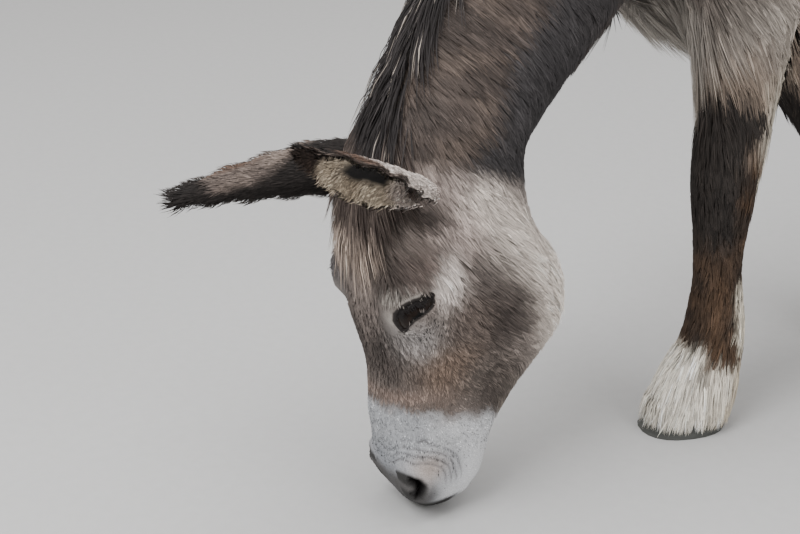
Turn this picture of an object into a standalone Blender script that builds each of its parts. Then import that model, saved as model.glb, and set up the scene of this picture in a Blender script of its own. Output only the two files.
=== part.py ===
"""A grazing donkey at life size, as a still museum model.

Frame: metres, +Z up, the animal faces -Y and its left side is +X. The floor is z = 0.
Each form of the body is lofted from a few named stations: a station is a point on the front or top
outline, a point on the back or bottom outline, and a half width. The forms are fused into one body,
smoothed, thinned to few faces, and parted with thin planar cuts where a person names the parts.
"""

import math

import bmesh
import bpy
import numpy as np
from mathutils import Matrix, Vector

# ---------------------------------------------------------------- driving dimensions
WITHERS = 1.055          # height of the withers while the head is down
HOOF_SHOWN = 0.036       # height of horn that the feather leaves bare
GAP = 0.0004             # clearance that touching pieces keep
FUSE_VOXEL = 0.0070      # grain of the fused body
SMOOTH_STEPS = 12
BODY_FACES = 2650        # triangles of the fused body before it is parted
HEAD_SPARED = 0.02       # how strongly the head keeps its triangles
MUZZLE_ALONG = 0.345     # poll to the line where the white muzzle starts

HEAD_LENGTH = 0.478
HEAD_YAW = 18.0          # degrees that the face turns to the animal's left
HEAD_PITCH = 2.6         # degrees that the nose is tucked past vertical
POLL = Vector((0.256, -0.482, 0.480))

EYE_RADIUS = 0.0225
EYE_ALONG = 0.197        # poll to eye, along the head
EYE_SIDE = 0.0700
EYE_BACK = 0.024         # behind the line of the forehead

EYE_SLIT = (0.024, 0.010)  # half length and half height of the opening between the lids
EYE_SLANT = 30.0           # degrees that the inner corner hangs below the outer one

EAR_LENGTH = 0.248       # from inside the head to the tip
EAR_WALL = 0.008         # leather and coat together
EAR_SPLAY = {1: 27.0, -1: 18.0}   # degrees that each ear points to its own side
EAR_RISE = {1: 24.0, -1: -5.0}    # degrees above level, left and right
EAR_OPENS_DOWN = 20.0    # degrees that the cup is turned to the floor

MANE_HEIGHT = 0.050
MANE_LEAN = 0.034        # how far the mane's edge flops to the left


# ---------------------------------------------------------------- small tools
def clear_scene():
    for obj in list(bpy.data.objects):
        bpy.data.objects.remove(obj)


def collection(name):
    made = bpy.data.collections.new(name)
    bpy.context.scene.collection.children.link(made)
    return made


def material(name, colour, roughness):
    made = bpy.data.materials.new(name)
    made.use_nodes = True
    shader = made.node_tree.nodes["Principled BSDF"]
    shader.inputs["Base Color"].default_value = (*colour, 1.0)
    shader.inputs["Roughness"].default_value = roughness
    shader.inputs["Metallic"].default_value = 0.0
    return made


def mesh_object(name, points, faces, home):
    mesh = bpy.data.meshes.new(name)
    mesh.from_pydata([tuple(p) for p in points], [], faces)
    mesh.update()
    obj = bpy.data.objects.new(name, mesh)
    home.objects.link(obj)
    return obj


def smooth_through(rows, samples):
    """Catmull-Rom curve through the rows of an array, sampled evenly by row number."""
    rows = np.asarray(rows, float)
    padded = np.vstack([2 * rows[0] - rows[1], rows, 2 * rows[-1] - rows[-2]])
    t = np.linspace(0, len(rows) - 1 - 1e-9, samples)
    i = t.astype(int)
    f = (t - i)[:, None]
    a, b, c, d = (padded[i + k] for k in range(4))
    cubic = 2 * b + (c - a) * f + (2 * a - 5 * b + 4 * c - d) * f**2 + (3 * b - a - 3 * c + d) * f**3
    return cubic / 2


def loft(name, stations, home, samples=48, around=32):
    """A closed form through stations (front point, back point, half width, squareness, egg).

    A ring is a superellipse between the two outline points. Squareness 2 is an ellipse and more is
    boxier; egg above 0 makes the ring wider towards the front point.
    """
    plain = (2.0, 0.0)
    rows = [[*front, *back, half, *shape, *plain[len(shape):]] for front, back, half, *shape in stations]
    rows = smooth_through(rows, samples)
    front, back, half = rows[:, 0:3], rows[:, 3:6], rows[:, 6]
    centre, reach = (front + back) / 2, (front - back) / 2
    tangent = np.gradient(centre, axis=0)
    side = np.cross(tangent, reach)
    side /= np.linalg.norm(side, axis=1)[:, None]
    angle = np.linspace(0, 2 * math.pi, around, endpoint=False)
    power = 2 / rows[:, 7:8]
    cos = np.sign(np.cos(angle)) * np.abs(np.cos(angle)) ** power
    sin = np.sign(np.sin(angle)) * np.abs(np.sin(angle)) ** power
    wide = half[:, None] * cos * (1 + rows[:, 8:9] * sin)
    rings = centre[:, None] + wide[..., None] * side[:, None] + sin[..., None] * reach[:, None]
    points = rings.reshape(-1, 3)
    quads = [
        (ring + k, ring + (k + 1) % around, ring + around + (k + 1) % around, ring + around + k)
        for ring in range(0, (samples - 1) * around, around)
        for k in range(around)
    ]
    last = (samples - 1) * around
    faces = quads + [range(around - 1, -1, -1), range(last, last + around)]
    obj = mesh_object(name, points, faces, home)
    fix_normals(obj)
    return obj


def fix_normals(obj):
    bm = bmesh.new()
    bm.from_mesh(obj.data)
    bmesh.ops.recalc_face_normals(bm, faces=bm.faces)
    bm.to_mesh(obj.data)
    bm.free()


def ellipsoid(name, centre, radii, turn, home, segments=16):
    """A ball stretched to radii along the axes of the matrix turn."""
    bm = bmesh.new()
    bmesh.ops.create_uvsphere(bm, u_segments=segments, v_segments=segments * 5 // 8, radius=1.0)
    place = Matrix.Translation(centre) @ turn.to_4x4() @ Matrix.Diagonal((*radii, 1.0))
    bmesh.ops.transform(bm, matrix=place, verts=bm.verts)
    mesh = bpy.data.meshes.new(name)
    bm.to_mesh(mesh)
    bm.free()
    obj = bpy.data.objects.new(name, mesh)
    home.objects.link(obj)
    return obj


def with_modifiers(obj):
    """Replaces the object's mesh by what its modifiers make of it."""
    graph = bpy.context.evaluated_depsgraph_get()
    mesh = bpy.data.meshes.new_from_object(obj.evaluated_get(graph))
    obj.modifiers.clear()
    obj.data = mesh
    return obj


def boolean(obj, other, operation):
    modifier = obj.modifiers.new("join", "BOOLEAN")
    modifier.operation = operation
    modifier.object = other
    modifier.solver = "EXACT"
    return with_modifiers(obj)


# ---------------------------------------------------------------- the head's own frame
def rotation(degrees, axis):
    return Matrix.Rotation(math.radians(degrees), 3, axis)


head_turn = rotation(HEAD_YAW, "Z") @ rotation(HEAD_PITCH, "X")


def head_point(side, front, along):
    """A point of the head: side to its left, front out of the forehead, along from poll to muzzle."""
    return POLL + head_turn @ Vector((side, -front, -along))


# Each row: distance from the poll, face outline, jaw outline, half width, squareness, egg.
HEAD_ROWS = {
    "nape": (-0.045, -0.080, -0.150, 0.040, 2.0, 0.00),
    "poll": (-0.012, -0.018, -0.172, 0.066, 2.1, 0.10),
    "ears": (0.045, 0.002, -0.200, 0.080, 2.2, 0.12),
    "temple": (0.115, 0.012, -0.214, 0.086, 2.3, 0.12),
    "orbit": (0.195, 0.010, -0.244, 0.088, 2.5, 0.20),
    "cheek": (0.247, 0.000, -0.248, 0.080, 2.5, 0.12),
    "bridge": (0.305, -0.009, -0.224, 0.066, 2.5, 0.06),
    "bars": (0.358, -0.011, -0.166, 0.058, 2.4, 0.00),
    "nostril": (0.414, -0.014, -0.138, 0.058, 2.4, -0.04),
    "lip": (0.455, -0.028, -0.122, 0.052, 2.3, -0.02),
    "tip": (0.477, -0.052, -0.096, 0.024, 2.0, 0.00),
}


def head_stations():
    return [
        (head_point(0, front, along), head_point(0, back, along), half, square, egg)
        for along, front, back, half, square, egg in HEAD_ROWS.values()
    ]


def head_forms(home):
    """The skull and soft parts of the head, as overlapping forms."""
    loft("skull", head_stations(), home, samples=60, around=40)
    for side in (1, -1):
        for name, (out, front, along), radii in (
            ("orbit", (0.063, -0.018, 0.190), (0.028, 0.036, 0.038)),
            ("masseter", (0.050, -0.140, 0.195), (0.034, 0.070, 0.080)),
            ("nostril_wing", (0.038, -0.042, 0.424), (0.023, 0.032, 0.034)),
            ("ear_root", (0.056, -0.047, 0.056), (0.028, 0.034, 0.036)),
        ):
            ellipsoid(name, head_point(side * out, front, along), radii, head_turn, home)
    ellipsoid("chin", head_point(0, -0.106, 0.420), (0.036, 0.028, 0.028), head_turn, home)


# ---------------------------------------------------------------- neck, trunk and tail
# Neck rows: crest point, throat point, half width.
NECK_ROWS = {
    "atlas": ((0.250, -0.450, 0.506), (0.222, -0.312, 0.400), 0.066),
    "nape": ((0.213, -0.415, 0.600), (0.172, -0.234, 0.478), 0.064),
    "middle": ((0.153, -0.322, 0.730), (0.104, -0.148, 0.550), 0.075),
    "low": ((0.078, -0.185, 0.870), (0.038, -0.112, 0.590), 0.095),
    "base": ((0.020, -0.025, 0.985), (0.000, -0.110, 0.605), 0.120),
    "root": ((0.000, 0.120, 1.020), (0.000, -0.020, 0.610), 0.130),
}

# Trunk rows: distance back, top height, bottom height, half width, squareness, egg.
TRUNK_ROWS = {
    "breast": (-0.160, 0.790, 0.615, 0.050, 2.0, 0.00),
    "shoulder": (-0.110, 0.900, 0.535, 0.130, 2.2, -0.05),
    "withers_front": (0.030, 1.010, 0.522, 0.160, 2.2, -0.15),
    "withers": (0.150, WITHERS, 0.520, 0.178, 2.1, -0.22),
    "back": (0.330, 1.022, 0.512, 0.218, 2.1, -0.16),
    "belly": (0.500, 1.008, 0.508, 0.238, 2.1, -0.14),
    "loin": (0.660, 1.026, 0.556, 0.210, 2.2, -0.05),
    "croup": (0.800, 1.045, 0.650, 0.186, 2.3, 0.00),
    "rump": (0.910, 1.000, 0.710, 0.142, 2.2, 0.00),
    "buttock": (0.975, 0.930, 0.790, 0.050, 2.0, 0.00),
}

# Tail rows: centre back, centre height, thickness front to back, half width.
TAIL_ROWS = {
    "dock_root": (0.925, 0.950, 0.056, 0.034),
    "dock": (0.984, 0.895, 0.046, 0.026),
    "upper": (1.006, 0.800, 0.042, 0.022),
    "middle": (1.006, 0.660, 0.040, 0.021),
    "tassel_top": (1.005, 0.560, 0.052, 0.028),
    "tassel": (1.000, 0.430, 0.070, 0.036),
    "tassel_low": (0.998, 0.330, 0.052, 0.026),
    "tassel_tip": (0.998, 0.270, 0.014, 0.007),
}


def neck_form(home):
    stations = [(crest, throat, half, 2.1, -0.12) for crest, throat, half in NECK_ROWS.values()]
    return loft("neck", stations, home, samples=56, around=36)


def trunk_form(home):
    stations = [
        (Vector((0, y, top)), Vector((0, y, bottom)), half, square, egg)
        for y, top, bottom, half, square, egg in TRUNK_ROWS.values()
    ]
    return loft("trunk", stations, home, samples=60, around=44)


# ---------------------------------------------------------------- legs
# Leg rows: front point (back, height), rear point (back, height), half width, outward place.
FORE_ROWS = {
    "blade": ((0.000, 0.930), (0.170, 0.950), 0.040, 0.085),
    "shoulder": ((-0.115, 0.790), (0.165, 0.820), 0.055, 0.112),
    "arm": ((-0.130, 0.690), (0.135, 0.700), 0.062, 0.118),
    "elbow": ((-0.082, 0.600), (0.108, 0.605), 0.058, 0.122),
    "forearm": ((-0.060, 0.530), (0.078, 0.530), 0.050, 0.120),
    "above_knee": ((-0.046, 0.430), (0.056, 0.430), 0.040, 0.114),
    "knee": ((-0.050, 0.345), (0.046, 0.345), 0.041, 0.110),
    "below_knee": ((-0.042, 0.280), (0.038, 0.280), 0.033, 0.108),
    "cannon": ((-0.036, 0.210), (0.036, 0.210), 0.030, 0.108),
    "fetlock": ((-0.043, 0.132), (0.047, 0.126), 0.038, 0.108),
    "pastern": ((-0.064, 0.092), (0.040, 0.078), 0.042, 0.108),
    "feather": ((-0.084, 0.052), (0.034, 0.046), 0.052, 0.108),
    "hoof_head": ((-0.082, 0.026), (0.028, 0.026), 0.050, 0.108),
}
FORE_JOINTS = {"elbow": (0.030, 0.600), "knee": (0.000, 0.340), "fetlock": (0.000, 0.130)}

HIND_ROWS = {
    "hip": ((0.660, 0.930), (0.945, 0.930), 0.085, 0.085),
    "thigh": ((0.625, 0.790), (0.980, 0.800), 0.092, 0.100),
    "stifle": ((0.628, 0.665), (0.955, 0.670), 0.088, 0.118),
    "gaskin": ((0.705, 0.565), (0.910, 0.565), 0.066, 0.120),
    "above_hock": ((0.785, 0.475), (0.918, 0.482), 0.044, 0.116),
    "hock": ((0.812, 0.405), (0.932, 0.425), 0.041, 0.112),
    "below_hock": ((0.832, 0.335), (0.920, 0.335), 0.034, 0.112),
    "cannon": ((0.840, 0.235), (0.910, 0.235), 0.030, 0.112),
    "fetlock": ((0.832, 0.140), (0.920, 0.132), 0.038, 0.112),
    "pastern": ((0.812, 0.094), (0.910, 0.082), 0.040, 0.112),
    "feather": ((0.796, 0.052), (0.906, 0.046), 0.049, 0.112),
    "hoof_head": ((0.797, 0.026), (0.900, 0.026), 0.047, 0.112),
}
HIND_JOINTS = {"hip": (0.800, 0.860), "hock": (0.880, 0.410), "fetlock": (0.876, 0.136)}

# Degrees that each length of a leg swings back below its joint, left and right.
FORE_SWING = {1: {"elbow": 0, "knee": 0, "fetlock": 0}, -1: {"elbow": 38, "knee": -12, "fetlock": -25}}
HIND_SWING = {1: {"hip": 2, "hock": -1, "fetlock": -1}, -1: {"hip": -9, "hock": 5, "fetlock": 4}}

# How far the elbow or hip itself is drawn back, left and right.
FORE_BACK = {1: 0.008, -1: 0.095}
HIND_BACK = {1: 0.0, -1: 0.0}

LEGS = {
    "fore": (FORE_ROWS, FORE_JOINTS, FORE_SWING, FORE_BACK),
    "hind": (HIND_ROWS, HIND_JOINTS, HIND_SWING, HIND_BACK),
}
TURNS_FROM = {
    "fore": {"elbow": "forearm", "knee": "knee", "fetlock": "fetlock"},
    "hind": {"hip": "stifle", "hock": "hock", "fetlock": "fetlock"},
}


def turned(point, pivot, degrees):
    """A (back, height) point turned about a pivot, so that what hangs below it swings back."""
    a = math.radians(degrees)
    y, z = point[0] - pivot[0], point[1] - pivot[1]
    return (pivot[0] + y * math.cos(a) - z * math.sin(a), pivot[1] + y * math.sin(a) + z * math.cos(a))


def posed_leg(kind, side):
    """The leg's rows, each length turned about its joint, the whole then let down onto the floor."""
    rows, joints, swing, back = LEGS[kind]
    names = list(rows)
    posed = {name: [Vector((side * out, *front)), Vector((side * out, *rear)), half]
             for name, (front, rear, half, out) in rows.items()}
    pivots = dict(joints)
    for joint, first in TURNS_FROM[kind].items():
        pivot = pivots[joint]
        for name in names[names.index(first):]:
            for end in (0, 1):
                point = posed[name][end]
                point.yz = turned(point.yz, pivot, swing[side][joint])
        later = list(joints)[list(joints).index(joint) + 1:]
        for other in later:
            pivots[other] = turned(pivots[other], pivot, swing[side][joint])
    sunk = min(posed["hoof_head"][0].z, posed["hoof_head"][1].z) - rows["hoof_head"][0][1]
    for k, name in enumerate(names):
        share = min(1.0, k / 3)
        for end in (0, 1):
            posed[name][end] += Vector((0, back[side] * share, -sunk * share))
    return posed


def leg_form(kind, side, home):
    stations = [(front, rear, half, 2.15) for front, rear, half in posed_leg(kind, side).values()]
    return loft(kind, stations, home, samples=72, around=28)


def leg_middle(kind, side, row):
    front, rear, _ = posed_leg(kind, side)[row]
    return (front + rear) / 2


# ---------------------------------------------------------------- fuse and thin
def fuse(forms, home):
    """One smooth body from overlapping closed forms."""
    mesh = bpy.data.meshes.new("flesh")
    bm = bmesh.new()
    for form in forms:
        bm.from_mesh(form.data)
        bpy.data.objects.remove(form)
    bm.to_mesh(mesh)
    bm.free()
    body = bpy.data.objects.new("flesh", mesh)
    home.objects.link(body)
    remesh = body.modifiers.new("fuse", "REMESH")
    remesh.mode = "VOXEL"
    remesh.voxel_size = FUSE_VOXEL
    relax = body.modifiers.new("relax", "SMOOTH")
    relax.factor = 0.5
    relax.iterations = SMOOTH_STEPS
    return with_modifiers(body)


def thin(body):
    """Collapses the body to BODY_FACES triangles, sparing those of the head."""
    least, fade = 0.7, 0.12
    spare = body.vertex_groups.new(name="plain")
    middle = head_point(0, -0.10, HEAD_LENGTH / 2)
    for v in body.data.vertices:
        beyond = (v.co - middle).length - HEAD_LENGTH / 2
        spare.add([v.index], min(1.0, max(least, beyond / fade)), "REPLACE")
    collapse = body.modifiers.new("thin", "DECIMATE")
    collapse.ratio = BODY_FACES / (2 * len(body.data.polygons))
    collapse.vertex_group = "plain"
    collapse.vertex_group_factor = HEAD_SPARED
    collapse.use_collapse_triangulate = True
    with_modifiers(body)
    body.vertex_groups.clear()


# ---------------------------------------------------------------- parting the body
def ring_across(mesh, at, normal):
    """The faces that a plane crosses, in the one closed ring that is nearest to the point at."""
    height = {v: (v.co - at).dot(normal) for v in mesh.verts}
    crossed = [f for f in mesh.faces if min(height[v] for v in f.verts) < 0 < max(height[v] for v in f.verts)]
    ring, front = set(), [min(crossed, key=lambda f: (f.calc_center_median() - at).length)]
    while front:
        face = front.pop()
        ring.add(face)
        for edge in face.edges:
            if height[edge.verts[0]] * height[edge.verts[1]] < 0:
                front += [other for other in edge.link_faces if other not in ring]
    return list(ring)


def part_across(mesh, name, at, normal):
    """Opens the body along a plane, at one ring of faces, into two flat ends a gap apart."""
    normal = normal.normalized()
    ring = ring_across(mesh, at, normal)
    geom = ring + list({e for f in ring for e in f.edges}) + list({v for f in ring for v in f.verts})
    cut = bmesh.ops.bisect_plane(mesh, geom=geom, dist=1e-6, plane_co=at, plane_no=normal)
    line = [e for e in cut["geom_cut"] if isinstance(e, bmesh.types.BMEdge)]
    bmesh.ops.split_edges(mesh, edges=line)
    rim = [e for e in mesh.edges if e.is_boundary]
    for v in {v for e in rim for v in e.verts}:
        middle = sum((f.calc_center_median() for f in v.link_faces), Vector()) / len(v.link_faces)
        side = 1 if (middle - at).dot(normal) > 0 else -1
        v.co += normal * side * GAP / 2
    caps = bmesh.ops.holes_fill(mesh, edges=rim)["faces"]
    if len(caps) != 2:
        raise RuntimeError(f"the cut at the {name} makes {len(caps)} ends, not 2")
    bmesh.ops.triangulate(mesh, faces=caps)


def cuts():
    """Each cut: its name, a point on it and its normal."""
    crest, throat = head_point(0, -0.030, -0.035), head_point(0, -0.215, 0.105)
    across = head_turn @ Vector((1, 0, 0))
    yield "nape", (crest + throat) / 2, across.cross(throat - crest)
    yield "muzzle", head_point(0, -0.090, MUZZLE_ALONG), head_turn @ Vector((0, 0, 1))
    yield "neck base", Vector((0.050, -0.142, 0.74)), Vector((0, 1, 0))
    yield "girth", Vector((0, 0.300, 0.78)), Vector((0, 1, 0))
    yield "flank", Vector((0, 0.572, 0.78)), Vector((0, 1, 0))
    for side in (1, -1):
        for kind, top, middle in (("fore", "forearm", "knee"), ("hind", "gaskin", "hock")):
            rows = list(LEGS[kind][0])
            for row, down in ((top, 0.45), (middle, 0.0), ("fetlock", 0.0)):
                start = leg_middle(kind, side, row)
                below = leg_middle(kind, side, rows[rows.index(row) + 1])
                yield f"{row} {side}", start.lerp(below, down), start - below
            sole = leg_middle(kind, side, "hoof_head")
            sole.z = HOOF_SHOWN
            yield f"coronet {side}", sole, Vector((0, 0, 1))


# The lengths of a leg, each with the row that lies about its middle.
LENGTHS = {
    "fore": {"forearm": "above_knee", "cannon": "cannon", "pastern": "pastern"},
    "hind": {"gaskin": "above_hock", "cannon": "cannon", "pastern": "pastern"},
}


def landmarks():
    """A point inside each piece of flesh, by the piece's name."""
    points = {
        "head": head_point(0, -0.10, 0.18),
        "muzzle": head_point(0, -0.08, 0.41),
        "neck": Vector((0.12, -0.30, 0.63)),
        "shoulders": Vector((0, 0.08, 0.80)),
        "barrel": Vector((0, 0.43, 0.78)),
        "hindquarters": Vector((0, 0.77, 0.82)),
    }
    for side, word in ((1, "left"), (-1, "right")):
        for kind, lengths in LENGTHS.items():
            for length, row in lengths.items():
                points[f"{kind}leg_{word}_{length}"] = leg_middle(kind, side, row)
    return points


def islands(mesh):
    """The sets of vertices that edges join, one set for each separate body of the mesh."""
    left = set(mesh.verts)
    found = []
    while left:
        island, front = set(), [left.pop()]
        while front:
            vertex = front.pop()
            island.add(vertex)
            near = {edge.other_vert(vertex) for edge in vertex.link_edges} & left
            left -= near
            front += near
        found.append(island)
    return found


def take_apart(body, home):
    """Parts the body at the cuts and names each piece by the landmark nearest to its middle."""
    mesh = bmesh.new()
    mesh.from_mesh(body.data)
    for name, at, normal in cuts():
        part_across(mesh, name, at, normal)
    pieces = {}
    for island in islands(mesh):
        if max(v.co.z for v in island) < HOOF_SHOWN + GAP:
            continue
        middle = sum((v.co for v in island), Vector()) / len(island)
        name = min(landmarks().items(), key=lambda item: (item[1] - middle).length)[0]
        if name in pieces:
            raise RuntimeError(f"two pieces are nearest to the {name}")
        order = sorted(island, key=lambda v: v.index)
        number = {v: k for k, v in enumerate(order)}
        faces = [[number[v] for v in f.verts] for f in mesh.faces if f.verts[0] in island]
        pieces[name] = mesh_object(name, [v.co for v in order], faces, home)
    mesh.free()
    bpy.data.objects.remove(body)
    missing = set(landmarks()) - set(pieces)
    if missing:
        raise RuntimeError(f"no piece is named {missing}")
    return pieces


# ---------------------------------------------------------------- pieces that stay separate
def grown(obj, home):
    """A copy of a piece, larger by the gap on every side, for cutting its neighbours."""
    mesh = obj.data.copy()
    normals = [v.normal.copy() for v in mesh.vertices]
    for v, normal in zip(mesh.vertices, normals):
        v.co += normal * GAP
    copy = bpy.data.objects.new("grown_" + obj.name, mesh)
    home.objects.link(copy)
    copy.hide_render = True
    copy.display_type = "WIRE"
    return copy


def cut_away(obj, *others):
    """Takes the neighbours out of a piece and keeps the largest body that is left."""
    for other in others:
        boolean(obj, other, "DIFFERENCE")
    mesh = bmesh.new()
    mesh.from_mesh(obj.data)
    bmesh.ops.remove_doubles(mesh, verts=mesh.verts, dist=1e-6)
    *crumbs, _ = sorted(islands(mesh), key=len)
    bmesh.ops.delete(mesh, geom=[v for crumb in crumbs for v in crumb], context="VERTS")
    bmesh.ops.triangulate(mesh, faces=mesh.faces)
    mesh.to_mesh(obj.data)
    mesh.free()
    return obj


def eye_turn(side):
    """The eye's own axes: along the slit, across it, and outwards."""
    out = head_turn @ Vector((side * 0.93, -0.34, 0.06)).normalized()
    slant = math.radians(EYE_SLANT)
    slit = head_turn @ Vector((0, math.cos(slant), math.sin(slant)))
    slit = (slit - out * slit.dot(out)).normalized()
    return Matrix((slit, out.cross(slit), out)).transposed()


def eye_centre(side):
    return head_point(side * EYE_SIDE, -EYE_BACK, EYE_ALONG)


def eye(side, name, home):
    """The ball of the eye, in a socket a gap wider, seen through the slit between the lids."""
    return ellipsoid(name, eye_centre(side), (EYE_RADIUS,) * 3, eye_turn(side), home)


def eye_cutters(side, home):
    socket = ellipsoid("socket", eye_centre(side), (EYE_RADIUS + GAP * 1.5,) * 3, eye_turn(side), home)
    half_length, half_height = EYE_SLIT
    bm = bmesh.new()
    bmesh.ops.create_cone(bm, cap_ends=True, segments=14, radius1=0.9, radius2=1.25, depth=0.04)
    turn = eye_turn(side)
    centre = eye_centre(side) + turn @ Vector((0, 0, EYE_RADIUS + 0.012))
    place = Matrix.Translation(centre) @ turn.to_4x4() @ Matrix.Diagonal((half_length, half_height, 1, 1))
    bmesh.ops.transform(bm, matrix=place, verts=bm.verts)
    mesh = bpy.data.meshes.new("slit")
    bm.to_mesh(mesh)
    bm.free()
    slit = bpy.data.objects.new("slit", mesh)
    home.objects.link(slit)
    return socket, slit


def nostril_cutter(side, home):
    lean = head_turn @ rotation(-28, "X")
    centre = head_point(side * 0.050, -0.040, 0.440)
    return ellipsoid("nostril_pit", centre, (0.014, 0.0085, 0.017), lean, home, 12)


def mouth_cutter(home):
    """A thin disc that parts the lips from one corner of the mouth round to the other."""
    lean = head_turn @ rotation(-38, "X")
    return ellipsoid("mouth_slit", head_point(0, -0.074, 0.462), (0.062, 0.046, 0.0022), lean, home, 12)


# Ear rows, root to tip: half of the flat width, half angle of the roll in degrees.
EAR_ROWS = [
    (0.032, 150), (0.035, 140), (0.038, 112), (0.039, 90),
    (0.037, 80), (0.032, 70), (0.023, 62), (0.010, 50),
]


def ear(side, name, home):
    """A leaf rolled into a cup: an arc of constant leather across, whose roll opens towards the tip."""
    heading = math.radians(HEAD_YAW + side * EAR_SPLAY[side])
    rise = math.radians(EAR_RISE[side])
    level = Vector((math.sin(heading), -math.cos(heading), 0))
    along = level * math.cos(rise) + Vector((0, 0, math.sin(rise)))
    out = Vector((math.cos(heading), math.sin(heading), 0)) * side
    down = out.cross(along) * side
    if down.z > 0:
        down = -down
    dip = math.radians(EAR_OPENS_DOWN)
    opening = out * math.cos(dip) + down * math.sin(dip)
    across = along.cross(opening)
    root = head_point(side * 0.050, -0.058, 0.064)
    rows = smooth_through(EAR_ROWS, 13)
    v = np.linspace(-1, 1, 9)
    points = []
    for k, (half, roll) in enumerate(rows):
        u = k / (len(rows) - 1)
        roll = math.radians(roll)
        radius = half / roll
        middle = root + along * (EAR_LENGTH * u) + Vector((0, 0, -0.020)) * u**3 * (side < 0)
        for t in v:
            lip = 0.006 * (1 - t * t) * (u > 0.99)
            place = across * (radius * math.sin(roll * t)) + opening * (radius * (1 - math.cos(roll * t)))
            points.append(middle + place + along * lip)
    count = len(v)
    faces = [
        (r * count + c, r * count + c + 1, (r + 1) * count + c + 1, (r + 1) * count + c)
        for r in range(len(rows) - 1)
        for c in range(count - 1)
    ]
    obj = mesh_object(name, points, faces, home)
    wall = obj.modifiers.new("wall", "SOLIDIFY")
    wall.thickness = EAR_WALL
    wall.offset = 0
    with_modifiers(obj)
    fix_normals(obj)
    return obj


def hoof(kind, side, name, home):
    """A hoof: flat sole, sloping toe, and a top that the feather hides."""
    front, rear, _ = posed_leg(kind, side)["hoof_head"]
    half = 0.043 if kind == "fore" else 0.039
    x = front.x
    toe, heel = front.y - 0.004, rear.y - 0.010
    rows = [
        (0.0, toe - 0.006, heel + 0.002, half),
        (HOOF_SHOWN * 0.5, toe + 0.006, heel + 0.006, half * 0.95),
        (HOOF_SHOWN, toe + 0.018, heel + 0.008, half * 0.88),
    ]
    stations = [(Vector((x, a, z)), Vector((x, b, z)), h, 2.3, 0.06) for z, a, b, h in rows]
    return loft(name, stations, home, samples=4, around=22)


def mane(home):
    """A low fin of hair along the crest, from the poll to the withers, that leans to the left."""
    rows = [Vector(crest) for crest, _, _ in NECK_ROWS.values()]
    rows = [head_point(0, -0.045, -0.020)] + rows[1:] + [Vector((0, 0.175, WITHERS - 0.012))]
    crest = smooth_through(rows, 22)
    stations = []
    for k, point in enumerate(crest):
        u = k / (len(crest) - 1)
        run = Vector(crest[min(k + 1, len(crest) - 1)]) - Vector(crest[max(k - 1, 0)])
        left = Vector((0, 0, 1)).cross(run).normalized()
        if left.x < 0:
            left = -left
        up = run.cross(left).normalized()
        if up.z < 0:
            up = -up
        rise, fall = math.sin(math.pi * min(u / 0.16, 1) / 2), math.cos(math.pi * max(u - 0.6, 0) / 0.8)
        full = 0.25 + 0.75 * rise * fall
        top = Vector(point) + (up * MANE_HEIGHT + left * MANE_LEAN) * full
        stations.append((top, Vector(point) - up * 0.022, 0.013, 2.0, -0.35))
    return loft("mane", stations, home, samples=22, around=9)


def forelock(home):
    """A tongue of long hair from the poll down over the forehead."""
    rows = [(-0.030, 0.004, 0.020), (0.000, 0.022, 0.034), (0.050, 0.030, 0.042), (0.100, 0.030, 0.040),
            (0.145, 0.024, 0.030), (0.175, 0.014, 0.014)]
    deep = 0.045
    stations = [
        (head_point(0, top, along), head_point(0, top - deep, along), half)
        for along, top, half in rows
    ]
    return loft("forelock", stations, home, samples=10, around=12)


def tail(home):
    """The dock and, a gap below it, the switch of long hair."""
    names = list(TAIL_ROWS)
    split = names.index("tassel_top")
    made = []
    for name, rows, shift in (("dock", names[:split + 1], 0.0), ("tail_switch", names[split:], GAP)):
        stations = []
        for row in rows:
            y, z, thick, half = TAIL_ROWS[row]
            stations.append(((0, y + thick / 2, z - shift), (0, y - thick / 2, z - shift), half))
        made.append(loft(name, stations, home, samples=3 * len(rows), around=10))
    return made


# ---------------------------------------------------------------- colours
COAT = {
    "head": (0.235, 0.190, 0.160),
    "muzzle": (0.560, 0.560, 0.580),
    "neck": (0.215, 0.170, 0.140),
    "shoulders": (0.300, 0.265, 0.235),
    "barrel": (0.310, 0.275, 0.245),
    "hindquarters": (0.300, 0.262, 0.230),
    "forearm": (0.200, 0.160, 0.135),
    "gaskin": (0.260, 0.225, 0.195),
    "cannon": (0.080, 0.058, 0.050),
    "pastern": (0.620, 0.570, 0.500),
    "ear": (0.100, 0.075, 0.062),
    "mane": (0.050, 0.042, 0.040),
    "forelock": (0.250, 0.190, 0.150),
    "dock": (0.240, 0.205, 0.180),
    "tail_switch": (0.060, 0.048, 0.045),
    "hoof": (0.085, 0.080, 0.082),
    "eye": (0.015, 0.010, 0.008),
}
GLOSS = {"eye": 0.06, "hoof": 0.45}


def colour_pieces(objects):
    """Gives each piece a material of its own, coloured by the kind of piece that its name tells."""
    for obj in objects:
        kind = next(word for word in sorted(COAT, key=len, reverse=True) if word in obj.name)
        obj.data.materials.clear()
        obj.data.materials.append(material(obj.name + "_coat", COAT[kind], GLOSS.get(kind, 0.85)))
        obj.data.shade_smooth()


def stand_on_origin(objects):
    """Moves every mesh so that the origin is under the middle of the whole animal."""
    corners = [Vector(corner) for obj in objects for corner in obj.bound_box]
    middle = [(min(c[k] for c in corners) + max(c[k] for c in corners)) / 2 for k in (0, 1)]
    for obj in objects:
        obj.data.transform(Matrix.Translation((-middle[0], -middle[1], 0)))


# ---------------------------------------------------------------- the animal
clear_scene()
parts = collection("donkey")
cutters = collection("cutters")

head_forms(parts)
neck_form(parts)
trunk_form(parts)
for side in (1, -1):
    leg_form("fore", side, parts)
    leg_form("hind", side, parts)
body = fuse(list(parts.objects), parts)
thin(body)
flesh = take_apart(body, parts)

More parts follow.
